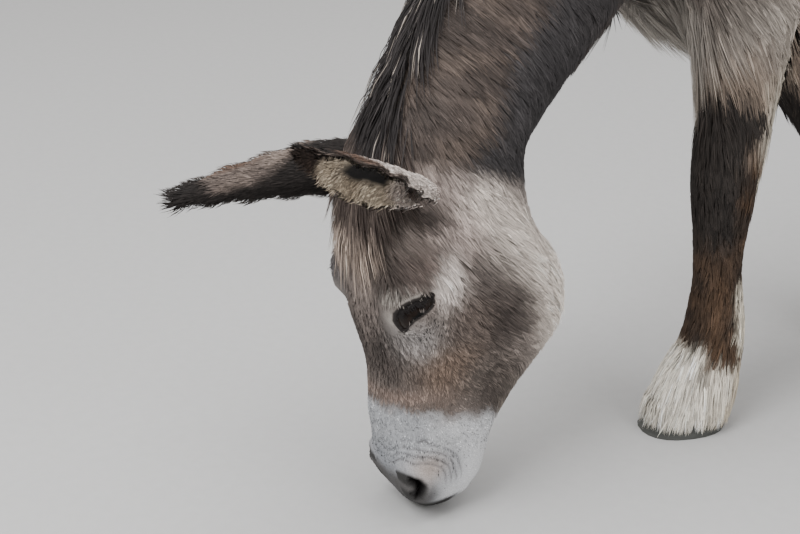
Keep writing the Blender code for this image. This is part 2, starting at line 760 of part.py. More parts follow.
grown_flesh = {name: grown(flesh[name], cutters) for name in ("head", "neck", "shoulders", "hindquarters")}
cut_away(mane(parts), grown_flesh["head"], grown_flesh["neck"], grown_flesh["shoulders"])
dock, switch = tail(parts)
cut_away(dock, grown_flesh["hindquarters"])
around_ears = [grown_flesh["head"], grown_flesh["neck"], grown(bpy.data.objects["mane"], cutters)]
cut_away(forelock(parts), *around_ears)
around_ears.append(grown(bpy.data.objects["forelock"], cutters))

mouth = mouth_cutter(cutters)
for side, word in ((1, "left"), (-1, "right")):
    cut_away(ear(side, f"ear_{word}", parts), *around_ears)
    eye(side, f"eye_{word}", parts)
    for cutter in eye_cutters(side, cutters):
        cut_away(flesh["head"], cutter)
    cut_away(flesh["muzzle"], nostril_cutter(side, cutters))
    for kind in LEGS:
        hoof(kind, side, f"hoof_{kind}_{word}", parts)
cut_away(flesh["muzzle"], mouth)

for guide in cutters.objects:
    guide.hide_render = True
    guide.display_type = "WIRE"
colour_pieces(parts.objects)
stand_on_origin(parts.objects)
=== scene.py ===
"""A grazing donkey, standing with its head down: skin, coat, mane, ears, eyes and hooves over its solids."""

import math

import bmesh
import bpy
import numpy as np
from mathutils import Matrix, Vector


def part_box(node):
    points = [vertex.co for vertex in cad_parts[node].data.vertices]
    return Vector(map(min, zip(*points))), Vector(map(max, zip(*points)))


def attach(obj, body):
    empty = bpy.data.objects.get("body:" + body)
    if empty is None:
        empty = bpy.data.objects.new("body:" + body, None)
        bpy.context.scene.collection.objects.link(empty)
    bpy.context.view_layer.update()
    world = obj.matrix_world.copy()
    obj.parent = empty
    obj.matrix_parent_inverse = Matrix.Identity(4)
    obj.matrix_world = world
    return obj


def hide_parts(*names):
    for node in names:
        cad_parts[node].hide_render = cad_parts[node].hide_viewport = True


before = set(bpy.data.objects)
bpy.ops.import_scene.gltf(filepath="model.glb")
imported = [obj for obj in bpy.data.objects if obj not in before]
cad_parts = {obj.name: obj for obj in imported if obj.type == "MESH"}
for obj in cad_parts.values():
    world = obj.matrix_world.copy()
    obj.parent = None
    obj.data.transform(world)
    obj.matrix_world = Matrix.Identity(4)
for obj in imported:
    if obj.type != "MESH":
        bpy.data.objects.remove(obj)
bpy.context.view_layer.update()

# ---------------------------------------------------------------- the head's own axes
# The head hangs nearly plumb and is turned a little to the animal's left. Its axes start at the
# poll, between the ears: side to its left, front out of the forehead, along down to the muzzle.
NOSE_TUCK = 2.6          # degrees that the nose is drawn in behind the plumb line
EYE_BACK, EYE_ALONG = 0.024, 0.197


def middle(node):
    """The middle of a solid's box, as an array."""
    low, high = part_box(node)
    return np.array((low + high) / 2)


def unit(vectors):
    """Each row made one long."""
    return vectors / np.maximum(np.linalg.norm(vectors, axis=-1, keepdims=True), 1e-9)


eyes_apart = unit(middle("eye_left") - middle("eye_right"))
HEAD_YAW = math.atan2(eyes_apart[1], eyes_apart[0])
turn = Matrix.Rotation(HEAD_YAW, 3, "Z") @ Matrix.Rotation(math.radians(NOSE_TUCK), 3, "X")
HEAD_AXES = np.array(turn) @ np.diag([1.0, -1.0, -1.0])
POLL = (middle("eye_left") + middle("eye_right")) / 2 - HEAD_AXES @ (0, -EYE_BACK, EYE_ALONG)


def head_place(side, front, along):
    """The point at those distances along the head's axes, from the poll."""
    return POLL + HEAD_AXES @ (side, front, along)


def in_head(points):
    """Points told along the head's axes: side, front, along."""
    return (points - POLL) @ HEAD_AXES


# ---------------------------------------------------------------- the camera
# It stands at the animal's left, a little higher than the back, and looks down at the head.
CAMERA_FROM_POLL = (1.659, -0.305, 0.520)
LOOKS_TOWARDS, LOOKS_DOWN = 78.0, 22.0
LENS = 74.25

heading, tilt = math.radians(LOOKS_TOWARDS), math.radians(LOOKS_DOWN)
look = Vector((-math.sin(heading) * math.cos(tilt), math.cos(heading) * math.cos(tilt), -math.sin(tilt)))
camera_data = bpy.data.cameras.new("camera")
camera_data.lens = LENS
camera_data.sensor_width = 36.0
camera = bpy.data.objects.new("camera", camera_data)
camera.location = Vector(POLL) + Vector(CAMERA_FROM_POLL)
camera.rotation_euler = look.to_track_quat("-Z", "Y").to_euler()
bpy.context.scene.collection.objects.link(camera)
bpy.context.scene.camera = camera

# ---------------------------------------------------------------- the skin
# One hide over head, neck, trunk and legs, thin and close to the flesh, without a seam. It lies
# inside the coat's outer surface by the depth that the coat has at each place.
SIDES = {"left": 1, "right": -1}
LEG_LENGTHS = {"fore": ("forearm", "cannon", "pastern"), "hind": ("gaskin", "cannon", "pastern")}
REGIONS = {name: [name] for name in ("head", "muzzle", "neck", "shoulders", "barrel", "hindquarters", "dock")}
for kind, lengths in LEG_LENGTHS.items():
    for length in lengths:
        REGIONS[f"{kind}_{length}"] = [f"{kind}leg_{word}_{length}" for word in SIDES]
REGIONS["tail"] = ["tail_switch"]
FLESH = [node for nodes in REGIONS.values() for node in nodes]
REGIONS["hoof"] = [f"hoof_{kind}_{word}" for kind in LEG_LENGTHS for word in SIDES]
REGION = {name: k for k, name in enumerate(REGIONS)}
HIDE_GRAIN = 0.0085      # size of the hide's plain facets
# A ball on each side fills the solid's nostril, before the hide's own is pressed in.
NOSTRIL_PLUG, PLUG_RADIUS = (0.042, -0.042, 0.438), 0.019


def node_points(nodes):
    """The corners of some solids, each once, as one array."""
    found = []
    for node in nodes:
        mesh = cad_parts[node].data
        points = np.empty(len(mesh.vertices) * 3, np.float32)
        mesh.vertices.foreach_get("co", points)
        found.append(np.unique(points.reshape(-1, 3).round(5), axis=0))
    return np.concatenate(found)


def distance_to(points, targets, rows=4096):
    """How far each point is from the nearest target, by the square of a difference multiplied out."""
    targets = targets.astype(np.float32)
    reach = (targets**2).sum(1)
    found = np.empty(len(points), np.float32)
    for start in range(0, len(points), rows):
        part = points[start:start + rows].astype(np.float32)
        square = (part**2).sum(1)[:, None] + reach - 2 * part @ targets.T
        found[start:start + rows] = np.sqrt(np.maximum(square.min(1), 0))
    return found


def belonging(points, blend=0.022):
    """How far each point belongs to each region: e to the minus its extra distance, over a blend."""
    apart = np.stack([distance_to(points, node_points(nodes)) for nodes in REGIONS.values()], axis=1)
    share = np.exp(-(apart - apart.min(1, keepdims=True)) / blend)
    return share / share.sum(1, keepdims=True)


def mesh_arrays(mesh):
    """Points, normals and triangles of a mesh as arrays."""
    points = np.empty(len(mesh.vertices) * 3, np.float32)
    mesh.vertices.foreach_get("co", points)
    normals = np.empty(len(mesh.vertices) * 3, np.float32)
    mesh.vertex_normals.foreach_get("vector", normals)
    mesh.calc_loop_triangles()
    triangles = np.empty(len(mesh.loop_triangles) * 3, np.int32)
    mesh.loop_triangles.foreach_get("vertices", triangles)
    return points.reshape(-1, 3).astype(float), normals.reshape(-1, 3).astype(float), triangles.reshape(-1, 3)


def edges_of(triangles):
    """Each edge of the triangles once, and for each triangle the numbers of its three edges."""
    pairs = np.sort(np.concatenate([triangles[:, pair] for pair in ([0, 1], [1, 2], [2, 0])]), axis=1)
    edges, number = np.unique(pairs, axis=0, return_inverse=True)
    return edges, number.reshape(3, -1).T


def refined(points, triangles, chosen):
    """Each chosen triangle is parted into four at the middles of its edges, and one that shares a
    parted edge into two, so that no corner lies on a neighbour's edge."""
    edges, sides = edges_of(triangles)
    for _ in range(8):
        parted = np.zeros(len(edges), bool)
        parted[sides[chosen].ravel()] = True
        chosen = parted[sides].sum(1) > 1
    parted = np.zeros(len(edges), bool)
    parted[sides[chosen].ravel()] = True
    middle_number = len(points) + np.cumsum(parted) - 1
    points = np.concatenate([points, points[edges[parted]].mean(1)])
    a, b, c = triangles[chosen].T
    ab, bc, ca = middle_number[sides[chosen]].T
    made = [np.stack(t, 1) for t in ((a, ab, ca), (ab, b, bc), (ca, bc, c), (ab, bc, ca))]
    rest, rest_sides = triangles[~chosen], sides[~chosen]
    split = parted[rest_sides]
    made.append(rest[~split.any(1)])
    for k in range(3):
        here = split[:, k]
        one, two, three = rest[here, k], rest[here, (k + 1) % 3], rest[here, (k + 2) % 3]
        mid = middle_number[rest_sides[here, k]]
        made += [np.stack((one, mid, three), 1), np.stack((mid, two, three), 1)]
    return points, np.concatenate(made)


def relaxed(points, triangles, steps, share=0.5):
    """Each point drawn towards the mean of its neighbours, a few times; share may vary by point."""
    edges, _ = edges_of(triangles)
    count = np.bincount(edges.ravel(), minlength=len(points))[:, None]
    for _ in range(steps):
        total = np.zeros_like(points)
        for k in range(3):
            total[:, k] = np.bincount(edges[:, 0], points[edges[:, 1], k], len(points))
            total[:, k] += np.bincount(edges[:, 1], points[edges[:, 0], k], len(points))
        points = points + share * (total / np.maximum(count, 1) - points)
    return points


def point_normals(points, triangles):
    """The mean of the triangles' normals at each point, larger triangles counting more."""
    a, b, c = points[triangles].transpose(1, 0, 2)
    face = np.cross(b - a, c - a)
    total = np.stack([
        sum(np.bincount(triangles[:, corner], face[:, k], len(points)) for corner in range(3))
        for k in range(3)
    ], axis=1)
    return unit(total)


def plain_mesh(name, points, triangles):
    """A mesh from arrays of points and triangles, shaded smooth."""
    mesh = bpy.data.meshes.new(name)
    mesh.vertices.add(len(points))
    mesh.vertices.foreach_set("co", points.astype(np.float32).ravel())
    mesh.loops.add(triangles.size)
    mesh.loops.foreach_set("vertex_index", np.ascontiguousarray(triangles, np.int32).ravel())
    mesh.polygons.add(len(triangles))
    mesh.polygons.foreach_set("loop_start", np.arange(0, triangles.size, 3, dtype=np.int32))
    mesh.update(calc_edges=True)
    mesh.shade_smooth()
    return mesh


def shown(mesh):
    """An object of the mesh's name, put in the scene."""
    obj = bpy.data.objects.new(mesh.name, mesh)
    bpy.context.scene.collection.objects.link(obj)
    return obj


def mesh_piece(name, points, triangles):
    """A named object from arrays of points and triangles, checked and shaded smooth."""
    mesh = plain_mesh(name, points, triangles)
    mesh.validate()
    return shown(mesh)


def fused(nodes, grain, steps):
    """One closed surface over some solids, by a voxel remesh, then smoothed: points and triangles."""
    bm = bmesh.new()
    for node in nodes:
        bm.from_mesh(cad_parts[node].data)
    for side in SIDES.values():
        plug = Matrix.Translation(head_place(side * NOSTRIL_PLUG[0], *NOSTRIL_PLUG[1:]))
        bmesh.ops.create_icosphere(bm, subdivisions=2, radius=PLUG_RADIUS, matrix=plug)
    bmesh.ops.remove_doubles(bm, verts=bm.verts, dist=1e-5)
    mesh = bpy.data.meshes.new("fused")
    bm.to_mesh(mesh)
    bm.free()
    obj = shown(mesh)
    remesh = obj.modifiers.new("fuse", "REMESH")
    remesh.mode = "VOXEL"
    remesh.voxel_size = grain
    graph = bpy.context.evaluated_depsgraph_get()
    result = bpy.data.meshes.new_from_object(obj.evaluated_get(graph))
    points, _, triangles = mesh_arrays(result)
    bpy.data.objects.remove(obj)
    return relaxed(points, triangles, steps), triangles


# Depth of the coat over the skin, by region, in metres.
COAT_DEPTH = {
    "head": 0.0040, "muzzle": 0.0012, "neck": 0.0090, "shoulders": 0.0120, "barrel": 0.0120,
    "hindquarters": 0.0110, "dock": 0.0080, "fore_forearm": 0.0085, "fore_cannon": 0.0040,
    "fore_pastern": 0.0080, "hind_gaskin": 0.0085, "hind_cannon": 0.0040, "hind_pastern": 0.0080,
    "tail": 0.0120, "hoof": 0.0,
}


def by_region(share, table):
    """A value for each point from a table by region, mixed by how far the point belongs to each."""
    return share @ np.array([table[name] for name in REGIONS], float)


# Soft bumps of the face: centre and radii along the head's axes, and how far each one pushes.
BUMPS = [
    ((-0.020, 0.030, 0.235), (0.045, 0.060, 0.045), (-0.004, 0.009, 0)),    # bridge of the nose
    ((-0.010, 0.030, 0.352), (0.060, 0.060, 0.058), (-0.004, 0.019, 0)),    # front of the muzzle
    ((0.000, -0.230, 0.130), (0.080, 0.050, 0.050), (0, 0.022, 0)),         # throat latch, drawn in
    ((0.000, -0.205, 0.285), (0.070, 0.050, 0.050), (0, -0.012, 0)),        # jaw
    ((0.000, -0.160, 0.350), (0.060, 0.040, 0.040), (0, -0.011, 0)),        # chin groove
    ((0.000, -0.040, 0.470), (0.070, 0.070, 0.035), (0, 0, 0.010)),         # lips
    ((0.000, -0.120, 0.425), (0.060, 0.040, 0.050), (0, -0.009, 0.002)),    # lower lip
]


def full_face(points):
    """Points moved by the face's bumps: each push, times e to the minus the squared distance from
    its centre in radii."""
    told = in_head(points)
    for centre, radii, push in BUMPS:
        away = ((told - centre) / radii) ** 2
        points = points + np.exp(-away.sum(1))[:, None] * (HEAD_AXES @ push)
    return points


def hide_over(nodes):
    """The fused surface of some nodes drawn in by the coat's depth: points, triangles, belonging."""
    points, triangles = fused(nodes, HIDE_GRAIN, 4)
    share = belonging(points)
    points = points - point_normals(points, triangles) * by_region(share, COAT_DEPTH)[:, None]
    return full_face(relaxed(points, triangles, 1)), triangles, share


EYE_NODES = ["eye_left", "eye_right"]
hide, hide_faces, hide_share = hide_over(FLESH + EYE_NODES + REGIONS["hoof"])
hide_normals = point_normals(hide, hide_faces)

# ---------------------------------------------------------------- the markings
# Skin and hair share one pattern: a grey-brown dun with pale cheeks and eye rings, a white muzzle,
# a charcoal throat, a dark line down the back and over the shoulders, black legs and white feet.
DUN, DUN_PALE = (0.150, 0.122, 0.104), (0.330, 0.285, 0.250)


def cloud(points, size, seed):
    """Soft noise from -1 to 1: random values on a grid of that size, mixed smoothly in between."""
    table = np.random.default_rng(seed).uniform(-1, 1, (32, 32, 32))
    place = points / size + 100.0
    low = np.floor(place).astype(int)
    part = place - low
    part = part * part * (3 - 2 * part)
    total = 0.0
    for corner in np.ndindex(2, 2, 2):
        weight = np.prod(np.where(corner, part, 1 - part), axis=1)
        total = total + weight * table[tuple((low + corner).T % 32)]
    return total


def step(value, start, end):
    """0 before start and 1 after end, with a soft rise between."""
    t = np.clip((value - start) / (end - start), 0, 1)
    return t * t * (3 - 2 * t)


def patch(told, centre, radii, power=1.3):
    """1 at the centre of an ellipsoid, falling softly to 0 a little beyond its radii."""
    return np.exp(-((((told - centre) / radii) ** 2).sum(1) ** power))


def band(told, start, end, radius):
    """1 along the line between two places, falling softly to 0 a little beyond the radius."""
    start, end = np.array(start), np.array(end)
    run = end - start
    share = np.clip((told - start) @ run / (run @ run), 0, 1)
    away = np.linalg.norm(told - start - share[:, None] * run, axis=1)
    return np.exp(-((away / radius) ** 2.6))


def painted(colours, mask, paint):
    """The colours with a paint laid over them where the mask is 1."""
    return colours + (np.array(paint) - colours) * mask[:, None]


# Paints of the head, in the order they are laid: the centre and radii of a soft patch, and its colour.
HEAD_PATCHES = [
    ((0.000, 0.010, 0.110), (0.060, 0.040, 0.080), (0.170, 0.140, 0.124)),    # forehead
    ((0.078, -0.085, 0.082), (0.040, 0.060, 0.050), (0.360, 0.296, 0.270)),   # side of the poll
    ((0.030, -0.205, 0.110), (0.070, 0.045, 0.080), (0.560, 0.500, 0.460)),   # throat latch
    ((0.030, 0.015, 0.055), (0.034, 0.036, 0.042), (0.036, 0.027, 0.023)),    # dark roots of the forelock
    ((0.082, -0.105, 0.152), (0.040, 0.026, 0.036), (0.150, 0.126, 0.115)),   # cheek below the ear
    ((0.075, -0.118, 0.214), (0.050, 0.046, 0.064), (0.060, 0.048, 0.043)),   # dark cheek
    ((0.062, -0.066, 0.280), (0.045, 0.036, 0.045), (0.205, 0.146, 0.112)),   # tan below the eye
    ((0.075, -0.118, 0.305), (0.040, 0.045, 0.040), (0.112, 0.092, 0.080)),   # lower cheek
    ((0.030, 0.014, 0.266), (0.044, 0.042, 0.058), (0.030, 0.024, 0.022)),    # dark bridge of the nose
    ((0.040, -0.020, 0.316), (0.050, 0.050, 0.011), (0.230, 0.172, 0.145)),   # warm edge over the muzzle
    ((0.072, 0.004, 0.142), (0.036, 0.036, 0.030), (0.060, 0.046, 0.041)),    # dark brow
    ((0.054, 0.020, 0.150), (0.022, 0.030, 0.044), (0.020, 0.016, 0.014)),    # painted shade in the hollow over the eye
    ((0.080, -0.020, 0.130), (0.030, 0.026, 0.022), (0.125, 0.097, 0.086)),   # warm brow
    ((0.076, 0.000, 0.172), (0.030, 0.034, 0.012), (0.250, 0.228, 0.205)),    # pale upper lid
    ((0.080, -0.018, 0.234), (0.036, 0.034, 0.032), (0.430, 0.400, 0.385)),   # pale ring below the eye
    ((0.068, 0.004, 0.206), (0.018, 0.012, 0.018), (0.340, 0.310, 0.280)),    # pale inner corner
    ((0.088, -0.054, 0.162), (0.030, 0.016, 0.034), (0.740, 0.660, 0.610)),   # cream behind the eye
    ((0.085, -0.082, 0.214), (0.030, 0.026, 0.030), (0.130, 0.102, 0.088)),   # brown below it
    ((0.078, -0.024, 0.080), (0.034, 0.042, 0.018), (0.045, 0.036, 0.032)),   # painted shadow under the ear
    ((0.040, -0.136, 0.335), (0.050, 0.030, 0.040), (0.070, 0.057, 0.050)),   # painted shade in the hollow of the jaw
    ((0.030, -0.165, 0.370), (0.060, 0.026, 0.050), (0.210, 0.180, 0.155)),   # brown under the chin
    ((0.000, -0.215, 0.290), (0.044, 0.040, 0.070), (0.420, 0.370, 0.330)),   # pale fringe of the jaw
]
CHEEK_LINE = [(0.080, -0.110, 0.070), (0.078, -0.145, 0.125), (0.070, -0.190, 0.180), (0.045, -0.232, 0.255),
              (0.035, -0.225, 0.300)]
CHEEK_PALE, CHEEK_EDGE = (0.620, 0.550, 0.490), (0.800, 0.715, 0.635)
MUZZLE_WHITE, MUZZLE_REAR, MUZZLE_MID = (0.400, 0.410, 0.430), (0.580, 0.585, 0.600), (0.300, 0.315, 0.340)
# painted shadow: the low front of the muzzle, near the lips, is darkened
MUZZLE_SHADOW = (0.075, 0.071, 0.070)
# the second colour, a pinkish beige, is a painted highlight on the nostril's rear rim
LIP_DARK, NOSTRIL_HIGHLIGHT, NOSTRIL_FRONT = (0.030, 0.029, 0.028), (0.330, 0.285, 0.260), (0.110, 0.090, 0.078)
MUZZLE_GREY, FACE_DUN, FACE_PALE = (0.240, 0.245, 0.260), (0.150, 0.124, 0.110), (0.26, 0.22, 0.20)
OFF_SIDE_BROW = (0.085, 0.078, 0.080)
# Paints of the neck and trunk.
CHARCOAL, THROAT_BROWN = (0.036, 0.033, 0.034), (0.060, 0.045, 0.037)
NECK_DARK, NECK_STREAK, CREST_PALE = (0.052, 0.041, 0.036), (0.088, 0.068, 0.057), (0.340, 0.295, 0.250)
BELLY_PALE, BREAST_PALE = (0.420, 0.385, 0.340), (0.420, 0.385, 0.345)
BACK_LINE, SHOULDER_CROSS = (0.050, 0.040, 0.035), (0.055, 0.044, 0.038)
# Paints of the legs, feet and tail.
FORELEG, FORELEG_RAGGED, FORELEG_REAR = (0.195, 0.152, 0.120), (0.420, 0.365, 0.300), (0.440, 0.395, 0.330)
BLACK, RUST = (0.022, 0.018, 0.016), (0.078, 0.046, 0.027)
HINDLEG, HIND_SHIN = (0.150, 0.120, 0.100), (0.045, 0.037, 0.033)
# the third colour is painted shade on the rear side of the white feet
CREAM, FEATHER, FEATHER_SHADE = (0.560, 0.510, 0.420), (0.740, 0.690, 0.600), (0.400, 0.320, 0.220)
TAIL_DARK = (0.052, 0.042, 0.038)
mane_points = node_points(["mane"])


def muzzle_edge(told):
    """How far a place lies below the slanting edge of the white muzzle."""
    return told[:, 2] - 0.330 + 0.25 * told[:, 1] + 0.008 * cloud(told, 0.018, 5)


# The middle line of the nostril, seen from the side: front and along.
NOSTRIL_ARCH = np.array([
    (-0.020, 0.420), (-0.027, 0.423), (-0.031, 0.429), (-0.029, 0.436), (-0.025, 0.443), (-0.022, 0.452),
])


def nostril_shape(told):
    """Distance, seen from the side, to the nostril's middle line; far away near the head's middle."""
    away = np.full(len(told), 9.0)
    for start, end in zip(NOSTRIL_ARCH, NOSTRIL_ARCH[1:]):
        run = end - start
        share = np.clip((told[:, 1:] - start) @ run / (run @ run), 0, 1)
        away = np.minimum(away, np.linalg.norm(told[:, 1:] - start - share[:, None] * run, axis=1))
    return away + 9.0 * (np.abs(told[:, 0]) < 0.024)


def chest_place(points):
    """1 on the underside of the breast, beside the left foreleg, fading out around it."""
    across, lengthwise = np.abs(points[:, 0] + 0.06), np.abs(points[:, 1] + 0.23)
    height = step(points[:, 2], 0.60, 0.57) * step(points[:, 2], 0.50, 0.53)
    return height * step(across, 0.10, 0.05) * step(lengthwise, 0.10, 0.06)


def halved(told):
    """Places told along the head's axes, with those of its right half laid over its left."""
    return np.column_stack([np.abs(told[:, 0]), told[:, 1:]])


def markings(points, normals, share, crest):
    """The colour of the coat at each point, from its place, the way it faces, its share of each
    region and its distance from the crest of the neck."""
    told = in_head(points)
    near = halved(told)
    mottle = cloud(points, 0.045, 1)
    colours = painted(np.tile(DUN, (len(points), 1)), 0.35 + 0.25 * mottle, DUN_PALE)

    trunk = share[:, [REGION[r] for r in ("shoulders", "barrel", "hindquarters", "dock")]].sum(1)
    low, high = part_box("barrel")
    spine = np.abs(points[:, 0] - (low.x + high.x) / 2)
    belly = step(points[:, 2], 0.66, 0.54) * trunk
    colours = painted(colours, 0.6 * belly, BELLY_PALE)
    top = step(normals[:, 2], 0.3, 0.7) * trunk
    colours = painted(colours, top * step(spine, 0.030, 0.014), BACK_LINE)
    cross_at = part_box("shoulders")[1].y - 0.165 + 0.10 * (points[:, 2] - 0.9)
    cross = step(np.abs(points[:, 1] - cross_at), 0.028, 0.010) * step(points[:, 2], 0.70, 0.86)
    colours = painted(colours, 0.85 * cross * trunk, SHOULDER_CROSS)

    breast = share[:, REGION["shoulders"]] * step(points[:, 1], -0.12, -0.30)
    neck = share[:, [REGION["neck"], REGION["head"]]].sum(1) + 0.6 * breast
    wave = crest + 0.012 * cloud(points, 0.06, 2)
    streak = cloud(points * (1, 0.4, 1), 0.016, 3)
    colours = painted(colours, neck, NECK_DARK)
    streaked = neck * step(streak, -0.1, 0.6) * step(wave, 0.12, 0.080)
    colours = painted(colours, streaked, NECK_STREAK)
    colours = painted(colours, neck * step(wave, 0.080, 0.108), CHARCOAL)
    colours = painted(colours, neck * step(wave, 0.190, 0.215), THROAT_BROWN)
    crest_top = neck * step(wave, 0.030, 0.012) * step(points[:, 2], 0.72, 0.77)
    colours = painted(colours, crest_top, CREST_PALE)
    colours = painted(colours, 0.9 * chest_place(points), BREAST_PALE)

    head = np.clip(share[:, REGION["head"]] * 1.3 + share[:, REGION["muzzle"]], 0, 1)
    head = head * step(told[:, 2] + 0.40 * told[:, 1], -0.010, 0.020)
    coat = painted(np.tile(FACE_DUN, (len(points), 1)), 0.25 + 0.2 * mottle, FACE_PALE)
    for centre, radii, paint in HEAD_PATCHES:
        coat = painted(coat, patch(near, centre, radii), paint)
    for start, end in zip(CHEEK_LINE, CHEEK_LINE[1:]):
        coat = painted(coat, 0.85 * band(near, start, end, 0.034), CHEEK_PALE)
    coat = painted(coat, patch(near, (0.040, -0.226, 0.215), (0.070, 0.052, 0.075)), CHEEK_EDGE)
    coat = painted(coat, patch(told, (-0.070, 0.000, 0.170), (0.03, 0.04, 0.05)), OFF_SIDE_BROW)
    below = muzzle_edge(near)
    white = step(below, -0.010, 0.012)
    muzzle = painted(np.tile(MUZZLE_WHITE, (len(points), 1)), step(near[:, 1], -0.025, -0.075), MUZZLE_REAR)
    muzzle = painted(muzzle, step(below, 0.030, 0.080) * step(near[:, 1], -0.070, -0.020), MUZZLE_MID)
    behind_nostril = 0.7 * patch(near, (0.05, -0.070, 0.412), (0.05, 0.020, 0.030))
    muzzle = painted(muzzle, behind_nostril, MUZZLE_GREY)
    # painted shadow over the low front of the muzzle
    muzzle = painted(muzzle, patch(near, (0.035, -0.022, 0.444), (0.06, 0.036, 0.028), 2.5), MUZZLE_SHADOW)
    # painted highlight on the rear rim of the nostril
    muzzle = painted(muzzle, patch(near, (0.050, -0.044, 0.408), (0.05, 0.022, 0.018)), NOSTRIL_HIGHLIGHT)
    muzzle = painted(muzzle, patch(near, (0.028, 0.010, 0.422), (0.03, 0.018, 0.018)), NOSTRIL_FRONT)
    dark = np.maximum(step(nostril_shape(told), 0.010, 0.005), step(near[:, 2], 0.452, 0.462))
    muzzle = painted(muzzle, dark * step(near[:, 1], -0.100, -0.075), LIP_DARK)
    white = (white * step(near[:, 1], -0.158, -0.136))[:, None]
    coat = coat * (1 - white) + muzzle * white
    colours = colours * (1 - head[:, None]) + coat * head[:, None]

    ahead, behind = -normals[:, 1], normals[:, 1]
    height = points[:, 2] + 0.012 * cloud(points, 0.03, 4)
    legs = {kind: share[:, [REGION[f"{kind}_{length}"] for length in lengths]].sum(1)
            for kind, lengths in LEG_LENGTHS.items()}
    fore, hind = legs["fore"], legs["hind"]
    fore = np.clip(fore + share[:, REGION["shoulders"]] * step(points[:, 2], 0.54, 0.49), 0, 1)
    colours = painted(colours, fore, FORELEG)
    ragged = step(cloud(points * (1, 1, 0.25), 0.012, 14), 0.0, 0.5) * step(height, 0.40, 0.44)
    colours = painted(colours, 0.7 * fore * ragged, FORELEG_RAGGED)
    colours = painted(colours, fore * step(behind, 0.1, 0.7), FORELEG_REAR)
    shin = step(ahead + 0.6 * cloud(points, 0.05, 6), -0.35, 0.15)
    below_knee = np.maximum(shin, step(height, 0.405, 0.375))
    colours = painted(colours, fore * below_knee * step(height - 0.030 * ahead, 0.490, 0.450), BLACK)
    brown = np.maximum(step(height, 0.290, 0.250), step(behind, -0.1, 0.5))
    brown = brown * (0.5 + 0.5 * cloud(points, 0.024, 7))
    colours = painted(colours, fore * brown * step(height, 0.440, 0.400), RUST)
    low = step(height, 0.225, 0.205) * step(height, 0.115, 0.135) * step(behind, 0.25, 0.60)
    fringe = step(height, 0.355, 0.385) * step(behind, 0.66, 0.92)
    colours = painted(colours, fore * np.maximum(low, fringe), CREAM)
    colours = painted(colours, hind * step(height, 0.50, 0.40), HINDLEG)
    colours = painted(colours, hind * step(ahead, 0.1, 0.6) * step(height, 0.45, 0.38), HIND_SHIN)
    feet = np.maximum(step(height, 0.118, 0.100), step(ahead, 0.1, 0.6) * step(height, 0.140, 0.120))
    feet = feet * np.clip(fore + hind + share[:, REGION["hoof"]], 0, 1)
    colours = painted(colours, feet, FEATHER)
    # painted shade: a brown, mottled darkening on the rear side of the white feet
    colours = painted(colours, feet * step(behind + 0.5 * mottle, 0.1, 0.7) * 0.7, FEATHER_SHADE)
    colours = painted(colours, share[:, REGION["tail"]], TAIL_DARK)
    return np.clip(colours, 0.004, 1)


hide_crest = distance_to(hide, mane_points)

# ---------------------------------------------------------------- lids, nostrils, lips and folds
# The hide closes over the eyes to a slanting slit with heavy lids. Round the nostrils and lips it
# is bare, dark and wrinkled.
BALL = (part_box("eye_left")[1].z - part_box("eye_left")[0].z) / 2 + 0.0030
LID_OVER, LID_UNDER = 0.0026, 0.0050       # the lids over the ball, the hide behind it inside the slit
SLIT_SLANT = 38.0        # degrees that the slit rises towards its outer end
SLIT_SPREAD = 1.08       # lengths of the drawn slit to those on the ball
EYES = {side: head_place(side * 0.0672, -EYE_BACK - 0.001, EYE_ALONG) for side in SIDES.values()}
points, faces, _ = hide_over(FLESH + EYE_NODES)
centroid = points[faces].mean(1)
told = in_head(centroid)
on_head = (told[:, 2] > -0.02) & (told[:, 1] > -0.27) & (centroid[:, 1] < POLL[1] + 0.24)
points, faces = refined(points, faces, on_head)
for reach_eye, reach_mouth in ((0.060, 0.085), (0.038, 0.0)):
    centroid = points[faces].mean(1)
    told = in_head(centroid)
    finer = np.min([np.linalg.norm(centroid - eye, axis=1) for eye in EYES.values()], axis=0) < reach_eye
    if reach_mouth:
        finer = finer | (told[:, 2] > 0.470 - reach_mouth) & (np.abs(told[:, 0]) < 0.10)
    points, faces = refined(points, faces, finer)
still_head = step(in_head(points)[:, 2], -0.02, 0.02)[:, None]
points = relaxed(points, faces, 2, 0.5 * still_head)


def eye_axes(side):
    """The eye's axes: towards the outer corner along the slit, across it upwards, and outwards."""
    outward = unit(HEAD_AXES @ np.array((side * 0.93, 0.34, -0.06)))
    slant = math.radians(SLIT_SLANT)
    along = HEAD_AXES @ np.array((0, -math.cos(slant), -math.sin(slant)))
    along = unit(along - outward * (along @ outward))
    return np.stack((along, np.cross(outward, along) * side, outward), axis=1)


# The opening between the lids: an upper edge that arches over a blunt, drooping inner end.
SLIT = [
    (0.0244, 0.0086), (0.0205, 0.0102), (0.0144, 0.0112), (0.0082, 0.0152), (0.0009, 0.0176),
    (-0.0072, 0.0186), (-0.0144, 0.0164), (-0.0195, 0.0112), (-0.0222, 0.0044), (-0.0222, -0.0010),
    (-0.0190, -0.0002), (-0.0135, 0.0030), (-0.0047, 0.0046), (0.0049, 0.0024), (0.0140, 0.0004),
    (0.0205, -0.0010), (0.0246, 0.0026),
]


def slit_distance(u, v):
    """Distance from the outline of the opening, below 0 inside it: the nearest of its straight
    pieces, with a sign from how many of them lie above the place."""
    away, inside = np.full(u.shape, 9.0), np.zeros(u.shape, bool)
    for (u1, v1), (u2, v2) in zip(SLIT, SLIT[1:] + SLIT[:1]):
        run_u, run_v = u2 - u1, v2 - v1
        share = np.clip(((u - u1) * run_u + (v - v1) * run_v) / (run_u**2 + run_v**2), 0, 1)
        away = np.minimum(away, np.hypot(u - u1 - share * run_u, v - v1 - share * run_v))
        crosses = ((u1 <= u) != (u2 <= u)) & (v < v1 + run_v * (u - u1) / (run_u if run_u else 1e-9))
        inside ^= crosses
    return np.where(inside, -away, away) - 0.0006


